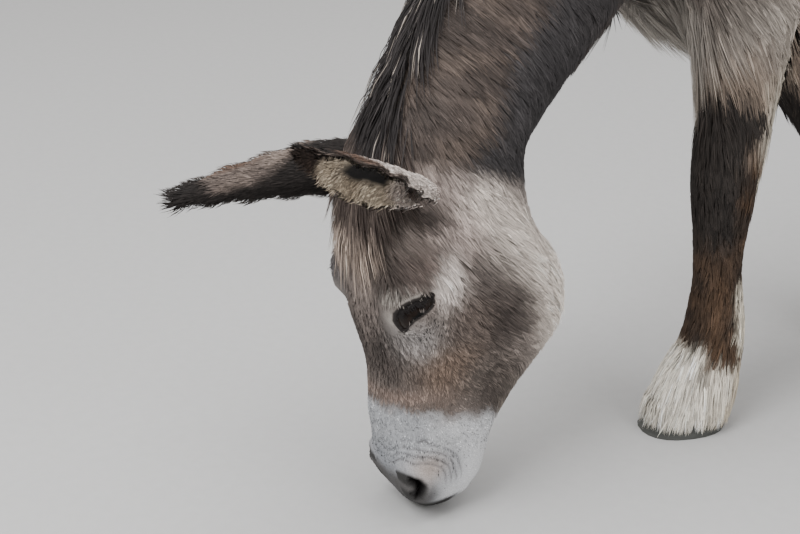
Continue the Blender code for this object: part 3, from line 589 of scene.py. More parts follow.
def over_ball(points, side):
    """Points seen from the eyeball's middle: how far they are, their way along the eye's axes, and
    the place of that way on the drawn slit."""
    local = (points - EYES[side]) @ eye_axes(side)
    far = np.linalg.norm(local, axis=1)
    way = local / np.maximum(far, 1e-6)[:, None]
    u, v = (BALL * SLIT_SPREAD * way[:, :2]).T
    return far, way, u, v


def with_lids(points, side):
    """Draws the hide over the eyeball: inside the slit it lies behind the ball's surface, outside it
    just over the ball, with a raised rim and two low folds along the upper lid."""
    far, way, u, v = over_ball(points, side)
    gap = slit_distance(u, v)
    near = step(way[:, 2], 0.18, 0.50) * (far < 0.05)
    over = BALL + LID_OVER + 0.0012 * np.exp(-(((gap - 0.0012) / 0.0013) ** 2))
    for at, high in ((0.0040, 0.0020), (0.0095, 0.0018)):
        over = over + high * np.exp(-(((gap - at) / 0.0017) ** 2)) * step(v - 0.2 * u, 0.002, 0.007)
    edge = step(gap, -0.0007, 0.0007)
    radius = (BALL - LID_UNDER) * (1 - edge) + over * edge
    lid = near * step(gap, 0.020, 0.004)
    wanted = far + (radius - far) * lid
    covered = (gap > 0) & (way[:, 2] > -0.1) & (far < 0.05)
    wanted = np.where(covered, np.maximum(wanted, BALL + 0.6 * LID_OVER), wanted)
    return points + (way * (wanted - far)[:, None]) @ eye_axes(side).T


for side in SIDES.values():
    points = with_lids(points, side)

normals = point_normals(points, faces)
told = in_head(points)
near = halved(told)
from_nostril = np.hypot(near[:, 1] + 0.032, near[:, 2] - 0.430)
wrinkled = step(from_nostril, 0.022, 0.030) * step(from_nostril, 0.066, 0.056)
wrinkled = wrinkled * step(near[:, 1], -0.095, -0.080) * step(near[:, 1], -0.002, -0.018)
wrinkled = wrinkled * step(near[:, 2], 0.440, 0.425)
rings = (from_nostril + 0.0050 * cloud(near, 0.016, 8)) / 0.0080
crease = wrinkled * np.abs(np.cos(rings * math.pi)) ** 9
lift = -0.0014 * crease
sideways = np.abs(normals @ HEAD_AXES[:, 0])
hole = nostril_shape(told) + 0.03 * step(sideways, 0.50, 0.30)
lift -= 0.016 * step(hole, 0.0050, 0.0015)
lift += 0.0022 * np.exp(-(((hole - 0.0110) / 0.0045) ** 2)) * step(near[:, 2], 0.455, 0.440)
mouth_line = near[:, 2] - (0.462 + 0.30 * (near[:, 1] + 0.080))
mouth = step(near[:, 1], -0.030, -0.050) * step(near[:, 1], -0.125, -0.105)
lift -= 0.0045 * mouth * np.exp(-((mouth_line / 0.0028) ** 2))
points = points + normals * lift[:, None]
points = relaxed(points, faces, 1, 0.25 * step(near[:, 2], 0.38, 0.40)[:, None])
share = belonging(points)
skin = mesh_piece("skin", points, faces)
normals = point_normals(points, faces)
tone = markings(points, normals, share, distance_to(points, mane_points))


def coloured(mesh, colours):
    """Keeps a colour for each point of a mesh, which its material reads."""
    layer = mesh.attributes.new("coat", "FLOAT_COLOR", "POINT")
    full = np.ones((len(colours), 4), np.float32)
    full[:, :3] = colours
    layer.data.foreach_set("color", full.ravel())


SKIN_SHADE = 0.62        # painted shade: the hide is darkened under the hair, except where it is bare
# the first colour is painted shade for the wrinkles round the nostrils, the last painted shade inside the
# nostril openings
CREASE_SHADE, LID_RIM, NOSTRIL_SHADE = (0.120, 0.114, 0.118), (0.016, 0.013, 0.012), (0.005, 0.004, 0.004)
bare = np.maximum(share[:, REGION["muzzle"]], patch(near, (0.08, -0.02, 0.21), (0.04, 0.05, 0.05)))
# painted shade under the coat
tone = tone * (SKIN_SHADE + (1 - SKIN_SHADE) * bare)[:, None]
# painted shade along the wrinkles round the nostrils
tone = painted(tone, 0.75 * crease, CREASE_SHADE)
rims = np.zeros(len(points))
for side in SIDES.values():
    far, way, u, v = over_ball(points, side)
    rim = step(slit_distance(u, v), 0.0032, 0.0018) * (way[:, 2] > 0.30) * (far < 0.04)
    rims = np.maximum(rims, rim)
tone = painted(tone, rims, LID_RIM)
# painted shade inside the nostril openings
tone = painted(tone, step(hole, 0.0062, 0.0036), NOSTRIL_SHADE)
coloured(skin.data, tone)


def noise_group():
    """A node group, from a point and a size to a fine height and a soft mask, both from 0 to 1."""
    group = bpy.data.node_groups.new("fine grain", "ShaderNodeTree")
    group.interface.new_socket("Vector", in_out="INPUT", socket_type="NodeSocketVector")
    scale = group.interface.new_socket("Scale", in_out="INPUT", socket_type="NodeSocketFloat")
    scale.default_value = 400.0
    group.interface.new_socket("Height", in_out="OUTPUT", socket_type="NodeSocketFloat")
    group.interface.new_socket("Mask", in_out="OUTPUT", socket_type="NodeSocketFloat")
    nodes, links = group.nodes, group.links
    inside, outside = nodes.new("NodeGroupInput"), nodes.new("NodeGroupOutput")
    fine, broad = nodes.new("ShaderNodeTexNoise"), nodes.new("ShaderNodeTexNoise")
    fine.inputs["Detail"].default_value = 3.0
    shrink = nodes.new("ShaderNodeMath")
    shrink.operation = "MULTIPLY"
    shrink.inputs[1].default_value = 0.08
    links.new(inside.outputs["Scale"], shrink.inputs[0])
    links.new(shrink.outputs[0], broad.inputs["Scale"])
    for texture in (fine, broad):
        links.new(inside.outputs["Vector"], texture.inputs["Vector"])
    links.new(inside.outputs["Scale"], fine.inputs["Scale"])
    links.new(fine.outputs["Fac"], outside.inputs["Height"])
    links.new(broad.outputs["Fac"], outside.inputs["Mask"])
    return group


GRAIN = noise_group()


def finish(name, rough, grain, colour=None, spread=(0.80, 1.20), bump=0.35, depth=0.001,
           specular=0.3, stretch=(1, 1, 1)):
    """A Principled material: colour from the piece's own attribute, or one colour, varied by grain,
    with a bump and a roughness from the same grain."""
    made = bpy.data.materials.new(name)
    made.use_nodes = True
    nodes, links = made.node_tree.nodes, made.node_tree.links
    shader = nodes["Principled BSDF"]
    shader.inputs["Specular IOR Level"].default_value = specular
    place, mapping = nodes.new("ShaderNodeTexCoord"), nodes.new("ShaderNodeMapping")
    mapping.inputs["Scale"].default_value = stretch
    links.new(place.outputs["Object"], mapping.inputs["Vector"])
    group = nodes.new("ShaderNodeGroup")
    group.node_tree = GRAIN
    group.inputs["Scale"].default_value = grain
    links.new(mapping.outputs["Vector"], group.inputs["Vector"])
    vary = nodes.new("ShaderNodeMapRange")
    vary.inputs["From Min"].default_value, vary.inputs["From Max"].default_value = 0.3, 0.7
    vary.inputs["To Min"].default_value, vary.inputs["To Max"].default_value = spread
    links.new(group.outputs["Height"], vary.inputs["Value"])
    shade = nodes.new("ShaderNodeVectorMath")
    shade.operation = "SCALE"
    if colour is None:
        source = nodes.new("ShaderNodeAttribute")
        source.attribute_name = "coat"
        links.new(source.outputs["Color"], shade.inputs["Vector"])
    else:
        shade.inputs["Vector"].default_value = colour
    links.new(vary.outputs["Result"], shade.inputs["Scale"])
    links.new(shade.outputs["Vector"], shader.inputs["Base Color"])
    gloss = nodes.new("ShaderNodeMapRange")
    gloss.inputs["To Min"].default_value, gloss.inputs["To Max"].default_value = rough
    links.new(group.outputs["Mask"], gloss.inputs["Value"])
    links.new(gloss.outputs["Result"], shader.inputs["Roughness"])
    relief = nodes.new("ShaderNodeBump")
    relief.inputs["Strength"].default_value = bump
    relief.inputs["Distance"].default_value = depth
    links.new(group.outputs["Height"], relief.inputs["Height"])
    links.new(relief.outputs["Normal"], shader.inputs["Normal"])
    return made


skin.data.materials.append(finish("hide", rough=(0.75, 0.95), grain=650, bump=0.5, depth=0.0008))
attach(skin, "root")
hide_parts(*[node for node in FLESH if node != "tail_switch"])

# ---------------------------------------------------------------- the coat
# Dense, soft hair in tapering tufts that lie along the body and overlap: short on the face and
# cannons, long and shaggy on forehead, cheeks, throat, forearms and over the hooves.
# Hair by region, in metres: length, width of a tuft, tufts for each square centimetre, and lift.
HAIR = {
    "head": (0.019, 0.0014, 30.0, 0.17), "muzzle": (0.004, 0.0010, 0.0, 0.10),
    "neck": (0.034, 0.0019, 18.0, 0.14), "shoulders": (0.042, 0.0042, 3.4, 0.12),
    "barrel": (0.042, 0.0046, 2.9, 0.12), "hindquarters": (0.040, 0.0046, 2.9, 0.12),
    "dock": (0.036, 0.0034, 5.0, 0.12),
    "fore_forearm": (0.044, 0.0026, 11.0, 0.16), "fore_cannon": (0.020, 0.0019, 15.0, 0.12),
    "fore_pastern": (0.036, 0.0021, 16.0, 0.24), "hind_gaskin": (0.036, 0.0036, 5.0, 0.12),
    "hind_cannon": (0.020, 0.0028, 7.0, 0.12), "hind_pastern": (0.038, 0.0030, 8.0, 0.22),
    "tail": (0.110, 0.0034, 9.0, 0.06), "hoof": (0.034, 0.0021, 16.0, 0.20),
}
BACK, DOWN, LEFT = np.array((0.0, 1.0, 0.0)), np.array((0.0, 0.0, -1.0)), np.array((1.0, 0.0, 0.0))
neck_run = unit(middle("shoulders") * (1, 1, 0) + (0, 0, 0.80) - POLL)
COMB = {
    "head": HEAD_AXES @ (0, -0.25, 1), "muzzle": HEAD_AXES @ (0, 0, 1), "neck": DOWN,
    "shoulders": BACK + DOWN, "barrel": BACK + 0.8 * DOWN, "hindquarters": BACK + 0.8 * DOWN,
    "dock": DOWN + 0.3 * BACK, "fore_forearm": DOWN, "fore_cannon": DOWN,
    "fore_pastern": DOWN - 0.25 * BACK, "hind_gaskin": DOWN + 0.3 * BACK, "hind_cannon": DOWN,
    "hind_pastern": DOWN - 0.25 * BACK, "tail": DOWN, "hoof": DOWN,
}
LID_FUR = 0.0032         # the lids' hair starts this far over the ball
for side, eye in EYES.items():
    away = np.linalg.norm(hide - eye, axis=1)
    over = ((hide - eye) @ eye_axes(side)[:, 2] > 0) & (away < BALL + LID_FUR)
    hide = np.where(over[:, None], eye + unit(hide - eye) * (BALL + LID_FUR), hide)
told = in_head(hide)
near = halved(told)
length, width, density, lift = (
    by_region(hide_share, {name: row[k] for name, row in HAIR.items()}) for k in range(4)
)
comb = hide_share @ np.array([unit(np.asarray(COMB[name], float)) for name in REGIONS])


def laid_flat(vectors, normals):
    """Each vector's part along the surface, one long: the vector less its part along the normal."""
    return unit(vectors - normals * (vectors * normals).sum(1)[:, None])


# The neck's hair runs from the crest round to the throat; the cheek's runs down and back.
neck_part = hide_share[:, [REGION["neck"]]]
TO_THROAT = np.array((0.0, 0.88, -0.42))
crosswise = step(hide_normals @ TO_THROAT, 0.75, 0.35)[:, None]
crosswise = crosswise * (0.35 + 0.65 * step(hide[:, 2:], 0.46, 0.60))
comb = comb + neck_part * crosswise * (2.6 * TO_THROAT + 0.25 * LEFT * np.sign(told[:, :1]))
on_head = np.clip(hide_share[:, REGION["head"]] + hide_share[:, REGION["muzzle"]], 0, 1)
cheek = on_head * step(near[:, 1], -0.045, -0.13)
comb = comb + cheek[:, None] * (HEAD_AXES @ (0, -1.25, 0.35))
brow = on_head * step(near[:, 2], 0.17, 0.13) * step(near[:, 1], -0.075, -0.03) * step(near[:, 2], 0.02, 0.07)
comb = comb + brow[:, None] * (HEAD_AXES @ (0, -0.75, 0.1))
comb = comb + (brow * np.sign(told[:, 0]) * 0.55)[:, None] * HEAD_AXES[:, 0]
beard = patch(near, (0.000, -0.165, 0.340), (0.060, 0.045, 0.045))
comb = comb + beard[:, None] * (HEAD_AXES @ (0, 0.6, 2.5))
swirl = np.stack([cloud(hide, 0.030, 21 + k) for k in range(3)], axis=1)
comb = laid_flat(comb + 0.22 * swirl, hide_normals)

# Hair of the head by place: the centre and radii of a soft patch, its length and how far it lifts.
face = on_head * step(near[:, 2], 0.13, 0.20) * step(near[:, 1], -0.16, -0.10)
length = length * (1 - 0.50 * face)
for centre, radii, grown, stand in (
    ((0.000, 0.010, 0.060), (0.075, 0.045, 0.090), 0.036, 0.20),      # forehead
    ((0.055, -0.010, 0.120), (0.040, 0.040, 0.040), 0.030, 0.22),     # brow
    ((0.075, -0.150, 0.165), (0.050, 0.065, 0.090), 0.046, 0.22),     # cheek
    ((0.030, -0.225, 0.230), (0.060, 0.040, 0.090), 0.048, 0.30),     # fringe of the jaw
    ((0.000, -0.165, 0.340), (0.055, 0.040, 0.045), 0.058, 0.12),     # beard
):
    spot = patch(near, centre, radii)
    length = length * (1 - spot) + grown * spot
    lift = lift * (1 - spot) + stand * spot
around_eye = patch(near, (0.082, -0.020, 0.196), (0.040, 0.036, 0.030))
length = length * (1 - 0.72 * around_eye)
lift = lift * (1 - 0.5 * around_eye)
hair_line = step(muzzle_edge(near), 0.006, -0.020)
hair_line = np.maximum(hair_line, step(near[:, 1], -0.118, -0.132))
length = np.where(on_head > 0.5, length * (0.35 + 0.65 * hair_line), length)
muzzle_hair = hide_share[:, REGION["muzzle"]] * (1 - hair_line)
density = density + 22.0 * muzzle_hair * step(near[:, 2], 0.425, 0.385)
belly_low = step(hide[:, 2], 0.62, 0.52) * hide_share[:, [REGION["shoulders"], REGION["barrel"]]].sum(1)
length = length + 0.030 * belly_low
chest = chest_place(hide)
length = length + 0.038 * chest
width = width - 0.0012 * chest
fine_hair = step(hide[:, 2], 0.66, 0.58) * hide_share[:, REGION["shoulders"]]
density = density + 6.0 * fine_hair + 6.0 * chest
width = width - 0.0016 * fine_hair
feet = hide_share[:, REGION["fore_pastern"]] * step(hide[:, 2], 0.13, 0.08)
length = length + 0.020 * feet
rear_leg = step(hide_normals[:, 1], 0.2, 0.9) * hide_share[:, REGION["fore_forearm"]]
length = length + 0.026 * rear_leg
eye_bare = np.zeros(len(hide))
for side in SIDES.values():
    far, _, u, v = over_ball(hide, side)
    eye_bare = np.maximum(eye_bare, step(slit_distance(u, v), 0.0080, 0.0045) * (far < 0.05))
density = density * (1 - eye_bare) * step(nostril_shape(told), 0.020, 0.030)
density = density * (hide_share[:, REGION["hoof"]] < 0.5)


def downstream(points, triangles, comb):
    """For each point, the neighbour that lies furthest along its comb direction, or itself."""
    edges, _ = edges_of(triangles)
    start = np.concatenate([edges[:, 0], edges[:, 1]])
    end = np.concatenate([edges[:, 1], edges[:, 0]])
    run = points[end] - points[start]
    score = (unit(run) * comb[start]).sum(1)
    order = np.lexsort((score, start))
    best = order[np.searchsorted(start[order], np.arange(len(points)), side="right") - 1]
    ahead = np.where(score[best] > 0.3, end[best], np.arange(len(points)))
    return ahead, np.median(np.linalg.norm(run, axis=1))


def laid_tips(start, comb_start, run, rest, anchor, points, normals):
    """Where hair from start ends after lying along the surface: straight on for its length, then
    let down onto the tangent plane at the anchor, a point of the surface that far along the comb."""
    end = start + comb_start * run[:, None]
    above = ((end - points[anchor]) * normals[anchor]).sum(1)
    return end - normals[anchor] * (above - rest)[:, None]


def grow(surface, seed):
    """Roots, middles and tips of tufts over a surface, with their widths, how bright each is, and
    the point of the surface that each belongs to. Roots fall at random by area and density; tips
    bend along the comb and gather towards the tip of the lock they belong to."""
    points, normals, triangles = surface["points"], surface["normals"], surface["triangles"]
    comb, length, lift, density = (surface[k] for k in ("comb", "length", "lift", "density"))
    rng = np.random.default_rng(seed)
    a, b, c = points[triangles].transpose(1, 0, 2)
    area = np.linalg.norm(np.cross(b - a, c - a), axis=1) / 2
    wanted = area * density[triangles].mean(1) * 10000
    count = int(wanted.sum())
    face = np.searchsorted(np.cumsum(wanted) / wanted.sum(), rng.random(count))
    face = np.minimum(face, len(triangles) - 1)
    mix = rng.dirichlet((1, 1, 1), count)
    corners = triangles[face]

    def at(values):
        return np.einsum("nk,nk...->n...", mix, values[corners])

    root, normal = at(points), unit(at(normals))
    way = laid_flat(at(comb) + 0.16 * rng.normal(size=(count, 3)), normal)
    long = at(length) * rng.uniform(0.70, 1.20, count)
    raised = at(lift) * rng.uniform(0.5, 1.5, count)
    home = corners[np.arange(count), mix.argmax(1)]

    ahead, grain = downstream(points, triangles, comb)
    hops = [np.arange(len(points))]
    for _ in range(int(long.max() / grain) + 1):
        hops.append(ahead[hops[-1]])
    hops = np.stack(hops)
    anchor = hops[np.round(0.9 * long / grain).astype(int), home]
    if surface.get("free"):
        ahead = anchor = hops[0]
        tip = root + way * long[:, None] + normal * (raised * long)[:, None]
    else:
        tip = laid_tips(root, unit(way + comb[anchor]), long, raised * long * 0.55, anchor, points, normals)

    lock = np.where(rng.random(len(points)) < 0.35, ahead, np.arange(len(points)))
    lock_long = length * rng.uniform(0.85, 1.25, len(points))
    steps = np.minimum(np.round(0.9 * lock_long / grain).astype(int), len(hops) - 1)
    sway = unit(comb + 0.20 * rng.normal(size=points.shape))
    if surface.get("free"):
        lock_tip = points + sway * lock_long[:, None] + normals * (lift * lock_long)[:, None]
    else:
        lock_anchor = hops[steps, np.arange(len(points))]
        lock_tip = laid_tips(points, sway, lock_long, lift * lock_long * 0.7, lock_anchor, points, normals)
    own_lock = lock[home]
    gather = surface.get("gather", 0.55) * rng.uniform(0.5, 1.2, count)
    reach = lock_tip[own_lock] - tip
    tip = tip + reach * (gather * step(np.linalg.norm(reach, axis=1), 2.5 * grain + long, grain))[:, None]
    tip = tip + DOWN * (at(surface["droop"]) * long)[:, None]
    tip[:, 2] = np.maximum(tip[:, 2], 0.005 + 0.010 * rng.random(count))
    bow = normal * (raised * long * 0.28 + 0.0006)[:, None]
    half = root * 0.5 + tip * 0.5 + bow
    root = root - normal * 0.0012
    bright = 0.16 * rng.normal(size=len(points))[own_lock] + 0.22 * rng.normal(size=count)
    wide = at(surface["width"]) * rng.uniform(0.7, 1.3, count)
    return dict(root=root, half=half, tip=tip, normal=normal, wide=wide, bright=bright, home=home)


def tuft_piece(name, tufts, colours, where, ends=None):
    """A closed mesh of tufts. Each is a slender three-sided spindle: a point in the skin, one or two
    rings and a point at the tip; centres follow the curve through root, half and tip. Its UV patch
    lies at its root's place on the unwrapped skin."""
    root, half, tip = tufts["root"], tufts["half"], tufts["tip"]
    count = len(root)
    tangent = unit(tip - root)
    side = unit(np.cross(tangent, tufts["normal"]))
    up = unit(np.cross(side, tangent))
    stations = ((0.40, 1.0),) if tufts.get("short", True) else ((0.25, 0.90), (0.66, 0.85))
    control = 2 * half - 0.5 * (root + tip)
    # Each station's last number is a brightness: the tuft is darkened towards its root as painted shade and
    # made lighter towards its tip.
    rings, weights = [root], [(0.0, -0.0015, 0.70)]
    for t, share in stations:
        centre = root * (1 - t) ** 2 + control * 2 * t * (1 - t) + tip * t**2
        for corner in range(3):
            angle = math.pi / 2 + corner * 2 * math.pi / 3
            out = side * math.cos(angle) + up * (0.55 * math.sin(angle))
            rings.append(centre + out * (tufts["wide"] * share / 2)[:, None])
            weights.append((math.cos(angle) * 0.0015, (t - 0.5) * 0.003, 0.75 + 0.45 * t))
    rings.append(tip)
    weights.append((0.0, 0.0015, 1.25))
    each, last = len(rings), len(rings) - 4
    points = np.stack(rings, axis=1)
    pattern = []
    for corner in range(3):
        after = (corner + 1) % 3
        pattern += [(0, 1 + after, 1 + corner), (last + corner, last + after, each - 1)]
        if last > 1:
            p, q = 1 + corner, 1 + after
            pattern += [(p, q, q + 3), (p, q + 3, p + 3)]
    triangles = (np.arange(count)[:, None, None] * each + np.array(pattern)).reshape(-1, 3)
    flat = points.reshape(-1, 3)
    a, b, c = (flat[triangles] - np.repeat(root, len(pattern), 0)[:, None]).transpose(1, 0, 2)
    if (np.cross(a, b) * c).sum() < 0:
        triangles = triangles[:, ::-1]
    mesh = plain_mesh(name, flat, triangles)
    weights = np.array(weights)
    ends = colours if ends is None else ends
    far = weights[None, :, 1:2] / 0.003 + 0.5
    # painted shade at the roots, lighter towards the tips
    tone = (colours[:, None] * (1 - far) + ends[:, None] * far) * weights[None, :, 2:3]
    tone = tone * np.exp(tufts["bright"])[:, None, None]
    coloured(mesh, np.clip(tone, 0.003, 1).reshape(-1, 3))
    place = where[:, None, :] + weights[None, :, :2]
    layer = mesh.uv_layers.new(name="OFBake")
    layer.data.foreach_set("uv", place.reshape(-1, 2)[triangles.ravel()].astype(np.float32).ravel())
    own = np.repeat(side[:, None], each, 1)
    facing = points - (root[:, None] + (tip - root)[:, None] * 0.5)
    lateral = unit((facing * own).sum(2)[..., None] * own)
    soft = unit(tufts["normal"][:, None] + 0.35 * lateral * (np.abs((facing * own).sum(2)) > 1e-5)[..., None])
    mesh.normals_split_custom_set_from_vertices(soft.reshape(-1, 3))
    return shown(mesh)


def chosen(tufts, mask):
    """The tufts where the mask is true."""
    return {k: (v[mask] if isinstance(v, np.ndarray) else v) for k, v in tufts.items()}


def unwrapped(points, axis_start, axis, out):
    """The surface unrolled from round an axis: the turn about it and the way along it, from 0 to 1."""
    axis, away = unit(np.asarray(axis, float)), points - axis_start
    along = away @ axis
    out = unit(out - axis * (out @ axis))
    across = np.cross(axis, out)
    angle = np.arctan2(away @ across, away @ out) / (2 * math.pi) + 0.5
    spread = np.ptp(along) + 1e-6
    return np.stack((0.01 + 0.98 * angle, 0.01 + 0.98 * (along - along.min()) / spread), axis=1)


coat_finish = finish(
    "coat", rough=(0.70, 0.92), grain=900, spread=(0.84, 1.16), bump=0.25, depth=0.0006, specular=0.25,
)
thin_out = 1.0
surface = dict(points=hide, normals=hide_normals, triangles=hide_faces, comb=comb, length=length, lift=lift,
               density=density * thin_out, width=width / thin_out**0.5, droop=0.60 * chest + 0.40 * feet)
tufts = grow(surface, seed=31)
home_region = hide_share.argmax(1)[tufts["home"]]
root_tone = markings(tufts["root"], tufts["normal"], hide_share[tufts["home"]], hide_crest[tufts["home"]])

# Dark specks: a few of the short hairs of the muzzle and below the eye.
SPECK = (0.020, 0.019, 0.019)
root_told = halved(in_head(tufts["root"]))
specked = step(muzzle_edge(root_told), 0.000, 0.015) * step(root_told[:, 1], -0.16, -0.13)
specked = specked * hide_share[tufts["home"], REGION["muzzle"]]
specked = np.maximum(specked, patch(root_told, (0.085, -0.034, 0.216), (0.04, 0.040, 0.034)))
specked = specked * (np.random.default_rng(32).random(len(root_told)) < 0.13)
root_tone = painted(root_tone, specked, SPECK)

# Where each coat piece grows, and the line that it is unrolled round for its UV map.
neck_axis = (POLL + HEAD_AXES @ (0, -0.10, -0.02), neck_run, LEFT)
COATS = {
    "face": (("head", "muzzle"), (POLL + HEAD_AXES @ (0, -0.11, 0), HEAD_AXES[:, 2], HEAD_AXES[:, 1])),
    "neck": (("neck",), neck_axis),
    "trunk": (("shoulders", "barrel", "hindquarters", "dock"), (middle("barrel"), BACK, -DOWN)),
    "forelegs": (("fore_forearm", "fore_cannon", "fore_pastern"), None),
    "hindlegs": (("hind_gaskin", "hind_cannon", "hind_pastern"), None),
    "tail": (("tail",), (middle("tail_switch"), DOWN, LEFT)),
}
MOST_TUFTS = 32500       # tufts in one piece
for name, (regions, axis) in COATS.items():
    here = np.isin(home_region, [REGION[r] for r in regions])
    group, group_tone = chosen(tufts, here), root_tone[here]
    if axis is None:
        body_x = middle("barrel")[0]
        left = group["root"][:, 0] > body_x
        where = np.zeros((len(left), 2))
        for flag, shift in ((True, 0.0), (False, 0.5)):
            leg = left == flag
            centre = group["root"][leg].mean(0)
            where[leg] = unwrapped(group["root"][leg], centre, DOWN, LEFT) * (0.49, 1.0) + (shift, 0)
    else:
        where = unwrapped(group["root"], *axis)
    pieces = -(-len(where) // MOST_TUFTS)
    order = np.argsort(where[:, 1], kind="stable")
    for k, rows in enumerate(np.array_split(order, pieces)):
        part = chosen(group, rows)
        coat = tuft_piece(f"coat_{name}_{k + 1}", part, group_tone[rows], where[rows])
        coat.data.materials.append(coat_finish)
        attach(coat, "root")
    if name == "tail":
        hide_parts("tail_switch")

# ---------------------------------------------------------------- the ears
# Long leaves of thin leather, rolled into a cup that opens towards the tip. Their backs carry short
# dense hair, dark at the rim and tip, and pale hair stands inside the cup along both edges.
EAR_LENGTH, EAR_LEATHER = {"left": 0.246, "right": 0.234}, 0.0030
# Degrees outwards from the face, upwards, and by which the cup opens downwards.
EAR_SET = {"left": (27.0, 24.0, 53.0), "right": (30.0, -5.0, 20.0)}
EAR_FLAT_HALF = {
    "left": (0.031, 0.034, 0.037, 0.038, 0.036, 0.031, 0.021, 0.007),
    "right": (0.038, 0.046, 0.044, 0.036, 0.029, 0.023, 0.018, 0.010),
}
EAR_ROLL = {"left": (150, 140, 112, 90, 80, 70, 62, 50), "right": (150, 115, 88, 76, 70, 65, 60, 50)}
DARK_RIM, EAR_PALE, EAR_BAND = (0.034, 0.023, 0.018), (0.120, 0.095, 0.083), (0.620, 0.540, 0.490)
# the second colour stands for the dark skin of the cup's hollow, painted near black as shade
EAR_CREAM, EAR_HOLLOW_SHADE, EAR_RED = (0.560, 0.470, 0.360), (0.006, 0.005, 0.005), (0.110, 0.070, 0.052)
EAR_BLACK, EAR_DUN, EAR_ROOT = (0.018, 0.015, 0.014), (0.25, 0.20, 0.17), (0.300, 0.250, 0.220)
EAR_RIM, EAR_EDGE = (0.090, 0.070, 0.060), (0.170, 0.140, 0.122)
EAR_TAN, EAR_BROWN = (0.32, 0.255, 0.180), (0.100, 0.080, 0.068)


def through(values, u):
    """A row of values read at u from 0 to 1, straight between them."""
    place = np.clip(u, 0, 1) * (len(values) - 1)
    low = np.minimum(place.astype(int), len(values) - 2)
    part = place - low
    values = np.asarray(values, float)
    return values[low] * (1 - part) + values[low + 1] * part


def closed_shell(outer, inner):
    """Points and triangles of a wall between two grids, joined along both sides and closed at both
    ends: each row goes out along the outer grid and comes back along the inner one."""
    rows, columns, _ = outer.shape
    ring = np.concatenate([outer, inner[:, ::-1]], axis=1)
    index = np.arange(rows * 2 * columns).reshape(rows, -1)
    a, b = index[:-1], index[1:]
    a2, b2 = np.roll(a, -1, axis=1), np.roll(b, -1, axis=1)
    walls = [np.stack(corners, -1).reshape(-1, 3) for corners in ((a, b, b2), (a, b2, a2))]
    ends = []
    for row, flip in ((0, 1), (rows - 1, -1)):
        near, far = index[row, :columns], index[row, columns:][::-1]
        quads = np.stack((near[:-1], near[1:], far[1:], far[:-1]), 1)[:, ::flip]
        ends += [quads[:, [0, 1, 2]], quads[:, [0, 2, 3]]]
    return ring.reshape(-1, 3), np.concatenate([*walls, *ends])


def both_walls(grid):
    """A grid's rows out along the outer wall and back along the inner one, as closed_shell lays them."""
    return np.concatenate([grid, grid[:, ::-1]], axis=1)


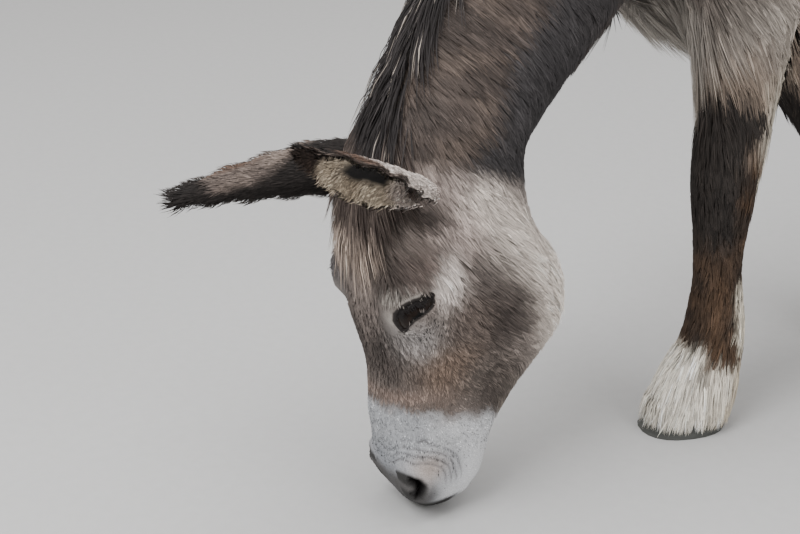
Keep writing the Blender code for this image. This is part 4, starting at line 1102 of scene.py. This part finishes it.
for word, side in SIDES.items():
    splay, rise, dip = (math.radians(x) for x in EAR_SET[word])
    heading = HEAD_YAW + side * splay
    level = np.array((math.sin(heading), -math.cos(heading), 0))
    along = level * math.cos(rise) + np.array((0, 0, math.sin(rise)))
    out = np.array((math.cos(heading), math.sin(heading), 0)) * side
    down = np.cross(out, along)
    down = down if down[2] < 0 else -down
    opening = out * math.cos(dip) + down * math.sin(dip)
    across = np.cross(along, opening)
    root = head_place(side * 0.050, -0.058, 0.064)
    u, t = np.meshgrid(np.linspace(0.02, 1, 64), np.linspace(-1, 1, 34), indexing="ij")
    roll = np.radians(through(EAR_ROLL[word], u))
    radius = through(EAR_FLAT_HALF[word], u) * (1.0 + 0.015 * np.sin(9 * u + 2 * t)) / roll
    turned = roll * t
    sag = -0.026 * u**2 * (side < 0)
    lip = 0.005 * (1 - t**2) * step(u, 0.9, 1)
    spine = root + (EAR_LENGTH[word] * u + lip)[..., None] * along + sag[..., None] * np.array((0, 0, 1))
    outward = np.sin(turned)[..., None] * across - np.cos(turned)[..., None] * opening
    middle_wall = spine + radius[..., None] * (outward + opening)
    ripple = 0.0016 * np.sin(34 * u + 1.5 * np.sin(5 * t)) * np.abs(t) ** 3
    wall = (EAR_LEATHER * (1 - 0.75 * np.abs(t) ** 6) * (1 - 0.7 * u**8))[..., None] / 2
    middle_wall = middle_wall + ripple[..., None] * outward
    points, faces = closed_shell(middle_wall + outward * wall, middle_wall - outward * wall)
    normals = point_normals(points, faces)
    lengthways = both_walls(u).ravel()
    up = side * both_walls(t).ravel()
    back = np.concatenate([np.ones_like(t), np.zeros_like(t)], axis=1).ravel()
    facing = (normals * both_walls(outward).reshape(-1, 3)).sum(1)
    if np.median(facing[back > 0.5]) < 0:
        faces, normals = faces[:, ::-1], -normals
    mottle = cloud(points, 0.02, 12)
    behind = painted(np.tile(EAR_PALE, (len(points), 1)), step(mottle, -0.4, 0.8) * 0.6, EAR_DUN)
    dark_half = step(lengthways + 0.25 * up, 0.62, 0.46) * step(lengthways, 0.06, 0.16)
    behind = painted(behind, dark_half, EAR_BLACK)
    behind = painted(behind, step(up + 0.12 * mottle, -0.10, -0.45), EAR_BLACK)
    behind = painted(behind, step(lengthways, 0.20, 0.10) * (side > 0), EAR_ROOT)
    if side > 0:
        pale_band = step(up, -0.10, 0.10) * step(up, 0.97, 0.90) * step(lengthways, 0.72, 0.60)
        behind = painted(behind, pale_band, EAR_BAND)
        behind = painted(behind, step(lengthways, 0.60, 0.72), EAR_RED)
    behind = painted(behind, step(up, 0.45, 0.85) * step(lengthways, 0.50, 0.66), EAR_RED)
    behind = painted(behind, step(lengthways, 0.78, 0.88), EAR_BLACK)
    behind = painted(behind, step(np.abs(up), 0.88, 0.97), DARK_RIM if side < 0 else EAR_RIM)
    if side > 0:
        behind = painted(behind, step(up, -0.70, -0.85) * step(lengthways, 0.78, 0.66), EAR_CREAM)
        behind = painted(behind, step(up, 0.86, 0.95) * step(lengthways, 0.36, 0.24), EAR_EDGE)
    within = np.tile(EAR_CREAM, (len(points), 1))
    within = painted(within, step(mottle, -0.2, 0.8) * 0.7, EAR_TAN)
    hollow = step(np.abs(up - 0.10 * (side > 0) + 0.08 * mottle), 0.62, 0.46)
    hollow = hollow * step(lengthways, 0.26, 0.34) * step(lengthways, 0.74, 0.62)
    # the bare hollow of the cup: dark skin with painted shade, near black
    within = painted(within, hollow, EAR_HOLLOW_SHADE)
    within = painted(within, step(lengthways, 0.24, 0.14), EAR_BAND)
    within = painted(within, step(up, 0.90, 0.97) * step(lengthways, 0.32, 0.44), EAR_BROWN)
    within = painted(within, step(lengthways, 0.78, 0.88), DARK_RIM)
    if side > 0:
        lobe = step(lengthways - 0.14 * step(up, 0.60, 0.80), 0.32, 0.22)
        behind, within = painted(behind, lobe, EAR_BAND), painted(within, lobe, EAR_BAND)
    tone = behind * back[:, None] + within * (1 - back[:, None])
    ear = mesh_piece(f"ear_skin_{word}", points, faces)
    # painted shade: the ear's skin is darkened under its hair
    coloured(ear.data, tone * 0.7)
    ear.data.materials.append(finish(f"ear_leather_{word}", rough=(0.7, 0.9), grain=500))
    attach(ear, "root")
    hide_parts(f"ear_{word}")

    sideways = across * side
    comb = np.tile(along, (len(points), 1)) + (0.25 * up * back)[:, None] * sideways
    comb = comb + ((1 - back) * 0.6)[:, None] * opening + ((1 - back) * 0.3 * up)[:, None] * sideways
    comb = comb + 0.15 * np.stack([cloud(points, 0.02, 40 + k) for k in range(3)], axis=1)
    comb = unit(comb - normals * (comb * normals).sum(1)[:, None] * 0.9)
    edge = step(np.abs(up), 0.86, 1.0)
    hair = dict(
        points=points, normals=normals, triangles=faces, comb=comb,
        length=0.0115 + 0.002 * edge + 0.010 * step(lengthways, 0.88, 1.0) - 0.002 * (1 - back),
        lift=0.16 + 0.16 * edge + 0.08 * (1 - back), free=True,
        density=(34.0 * back + 24.0 * (1 - back) * (1 - hollow)) * step(lengthways, 0.02, 0.08) * thin_out,
        width=np.full(len(points), 0.0013) / thin_out**0.5, gather=0.25, droop=np.zeros(len(points)),
    )
    tufts = grow(hair, seed=51 + side)
    home = tufts["home"]
    unrolled = 0.26 + 0.23 * side * up + 0.50 * (1 - back)
    where = np.column_stack([unrolled[home], 0.02 + 0.96 * lengthways[home]])
    fur = tuft_piece(f"ear_fur_{word}", tufts, np.clip(tone[home], 0, 1), where)
    fur.data.materials.append(coat_finish)
    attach(fur, "root")

# ---------------------------------------------------------------- mane and forelock
# Coarse long hair: black with a few pale strands along the crest, where it hangs towards the head
# and flops to the left, and brown with sun-bleached tips over the forehead.
MANE_BLACK, MANE_PALE = (0.022, 0.019, 0.019), (0.270, 0.235, 0.205)
FORELOCK_DARK, FORELOCK_BROWN = (0.040, 0.030, 0.026), (0.120, 0.095, 0.080)
FORELOCK_TIP = (0.500, 0.400, 0.330)


def everywhere(value):
    """The same value at every point of the hide."""
    return np.full(len(hide), value)


neck_side = hide_share[:, [REGION["neck"], REGION["head"], REGION["shoulders"]]].sum(1)
ridge = unit(np.cross(neck_run, LEFT))
ridge = ridge if ridge[2] > 0 else -ridge
down_neck = laid_flat(DOWN + 0.12 * LEFT + 0.22 * swirl, hide_normals)
crest_band = step(hide_normals @ ridge, 0.72, 0.88) * step(hide_crest, 0.020, 0.012) * neck_side
mane_hair = dict(
    points=hide, normals=hide_normals, triangles=hide_faces, comb=down_neck, length=everywhere(0.080),
    lift=everywhere(0.20), density=40.0 * crest_band * thin_out, gather=0.7, droop=everywhere(0.05),
    width=everywhere(0.0017) / thin_out**0.5,
)
tufts = grow(mane_hair, seed=61)
tufts["short"] = False
rng = np.random.default_rng(62)
tone = np.tile(MANE_BLACK, (len(tufts["root"]), 1))
pale = rng.random(len(tone)) < 0.05 + 0.60 * step(tufts["root"][:, 2], 0.68, 0.74)
tone = painted(tone, pale, MANE_PALE)
mane = tuft_piece("mane_locks", tufts, tone, unwrapped(tufts["root"], *neck_axis))
mane.data.materials.append(coat_finish)
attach(mane, "root")
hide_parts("mane")

apart = np.clip(near[:, :1] / 0.05, 0, 1.2) * np.sign(told[:, :1])
hangs = HEAD_AXES @ (0, 0.05, 1) + 0.25 * swirl + 0.35 * apart * HEAD_AXES[:, 0]
hangs = laid_flat(hangs - 0.45 * np.abs(apart) * HEAD_AXES[:, 1], hide_normals)
top = patch(near, (0.0, 0.000, 0.022), (0.040, 0.050, 0.058), 3.0)
fore_hair = dict(
    points=hide, normals=hide_normals, triangles=hide_faces, comb=hangs,
    length=0.050 + 0.050 * step(near[:, 0], 0.06, 0.0), lift=everywhere(0.15),
    density=40.0 * top * thin_out, gather=0.75, droop=everywhere(0.0),
    width=everywhere(0.0016) / thin_out**0.5,
)
tufts = grow(fore_hair, seed=71)
tufts["short"] = False
tip_told = in_head(tufts["tip"])
tone = np.tile(FORELOCK_DARK, (len(tufts["root"]), 1))
rng = np.random.default_rng(72)
tone = painted(tone, 0.6 * step(rng.random(len(tone)), 0.6, 0.9), FORELOCK_BROWN)
ends = painted(tone, step(tip_told[:, 2], 0.130, 0.165) * rng.random(len(tone)), FORELOCK_TIP)
forelock = tuft_piece("forelock_locks", tufts, tone, unwrapped(tufts["root"], *COATS["face"][1]), ends)
forelock.data.materials.append(coat_finish)
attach(forelock, "root")
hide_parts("forelock")

# ---------------------------------------------------------------- the eyes
# Dark, wet balls of glass that show only in the slit between the lids: a long level pupil in a
# brown iris, with a dark border round it. Black lashes stand out along the upper lid.
EYE_BORDER, IRIS, PUPIL = (0.020, 0.015, 0.012), (0.012, 0.007, 0.005), (0.003, 0.003, 0.003)
LASH_BLACK, LASHES = (0.010, 0.008, 0.008), 150


def round_ball(columns=72, rows=35):
    """Points and triangles of a ball of radius 1: sin v cos u, sin v sin u and cos v, for a turn u
    and a tilt v from the outer pole, and a point at each pole."""
    turned, tilted = np.meshgrid(np.linspace(0, 2 * math.pi, columns, endpoint=False),
                                 np.linspace(0, math.pi, rows + 2)[1:-1])
    ring = np.sin(tilted) * np.cos(turned), np.sin(tilted) * np.sin(turned), np.cos(tilted)
    ring = np.stack(ring, -1).reshape(-1, 3)
    index = np.arange(len(ring)).reshape(rows, columns)
    after = np.roll(index, -1, 1)
    a, b, c, d = index[:-1], index[1:], after[1:], after[:-1]
    faces = [np.stack(corners, -1).reshape(-1, 3) for corners in ((a, b, c), (a, c, d))]
    faces.append(np.stack((index[0], after[0], np.full(columns, len(ring))), -1))
    faces.append(np.stack((after[-1], index[-1], np.full(columns, len(ring) + 1)), -1))
    return np.concatenate([ring, [(0, 0, 1), (0, 0, -1)]]), np.concatenate(faces)


for word, side in SIDES.items():
    axes = eye_axes(side)
    ball, faces = round_ball()
    bulge = BALL * (1 + 0.045 * step(ball[:, 2], 0.80, 0.95))[:, None]
    placed = EYES[side] + (ball * bulge) @ axes.T
    if np.linalg.det(axes) < 0:
        faces = faces[:, ::-1]
    eye = mesh_piece(f"eyeball_{word}", placed, faces)
    iris = step(ball[:, 2], 0.70, 0.78)
    pupil = iris * step(np.hypot(ball[:, 0] / 0.42, ball[:, 1] / 0.24), 1.1, 0.9)
    tone = painted(np.tile(EYE_BORDER, (len(ball), 1)), iris, IRIS)
    coloured(eye.data, painted(tone, pupil, PUPIL))
    wet = finish(f"eye_{word}", rough=(0.06, 0.14), grain=200, bump=0.02, depth=0.0002, specular=0.14)
    eye.data.materials.append(wet)
    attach(eye, "root")
    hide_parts(f"eye_{word}")

    edge_line = np.array(SLIT[:7])
    rng = np.random.default_rng(81 + side)
    spot = rng.uniform(0, len(edge_line) - 1.001, LASHES)
    low = spot.astype(int)
    u, v = (edge_line[low] * (1 - spot + low)[:, None] + edge_line[low + 1] * (spot - low)[:, None]).T
    flat = np.stack((u, v + 0.001), 1) / (BALL * SLIT_SPREAD)
    way = np.column_stack([flat, np.sqrt(np.maximum(1 - (flat**2).sum(1), 0.05))])
    root = EYES[side] + ((BALL + LID_OVER) * way) @ axes.T
    out = way @ axes.T
    down_out = unit(0.65 * axes[:, 2] - 0.9 * axes[:, 1] + 0.25 * rng.normal(size=(LASHES, 3)))
    long = rng.uniform(0.006, 0.013, LASHES)[:, None]
    tip = root + down_out * long
    lashes = dict(root=root, half=(root + tip) / 2 + axes[:, 2] * long * 0.25, tip=tip, normal=out,
                  wide=np.full(LASHES, 0.0007), bright=np.zeros(LASHES), short=False)
    where = np.column_stack([0.02 + 0.96 * spot / spot.max(), 0.02 + 0.96 * rng.random(LASHES)])
    lash = tuft_piece(f"lashes_{word}", lashes, np.tile(LASH_BLACK, (LASHES, 1)), where)
    lash.data.materials.append(coat_finish)
    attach(lash, "root")

# ---------------------------------------------------------------- the hooves
# Worn grey horn with rings that follow its growth.
horn = finish(
    "horn", rough=(0.40, 0.65), grain=90, colour=(0.058, 0.060, 0.056), bump=0.35, depth=0.0015,
    stretch=(0.3, 0.3, 4),
)
for kind in LEG_LENGTHS:
    for word in SIDES:
        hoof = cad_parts[f"hoof_{kind}_{word}"]
        hoof.data.materials.clear()
        hoof.data.materials.append(horn)

# ---------------------------------------------------------------- floor and light
# A plain pale floor, soft light from above and from the camera's left, and a pale surround.
FLOOR_HALF = 40.0
corners = FLOOR_HALF * np.array([(-1, -1, 0), (1, -1, 0), (1, 1, 0), (-1, 1, 0)])
floor = mesh_piece("floor", corners, np.array([(0, 1, 2), (0, 2, 3)]))
floor_paint = finish(
    "floor_paint", rough=(0.8, 0.9), grain=60, colour=(0.48, 0.48, 0.48), spread=(0.98, 1.02), bump=0.05,
)
floor.data.materials.append(floor_paint)
for name, place, size, power in (
    ("key", (1.6, -2.6, 3.4), 2.6, 150.0),
    ("fill", (3.2, 1.6, 2.0), 3.0, 50.0),
    ("top", (0.0, 0.0, 4.2), 3.5, 115.0),
):
    light = bpy.data.lights.new(name, "AREA")
    light.shape = "DISK"
    light.size = size
    light.energy = power
    lamp = bpy.data.objects.new(name, light)
    lamp.location = place
    lamp.rotation_euler = (Vector(place) - Vector((0, -0.3, 0.5))).to_track_quat("Z", "Y").to_euler()
    bpy.context.scene.collection.objects.link(lamp)
world = bpy.data.worlds.new("surround")
world.use_nodes = True
glow = world.node_tree.nodes["Background"]
glow.inputs["Color"].default_value = (0.96, 0.94, 0.92, 1)
glow.inputs["Strength"].default_value = 0.88
bpy.context.scene.world = world
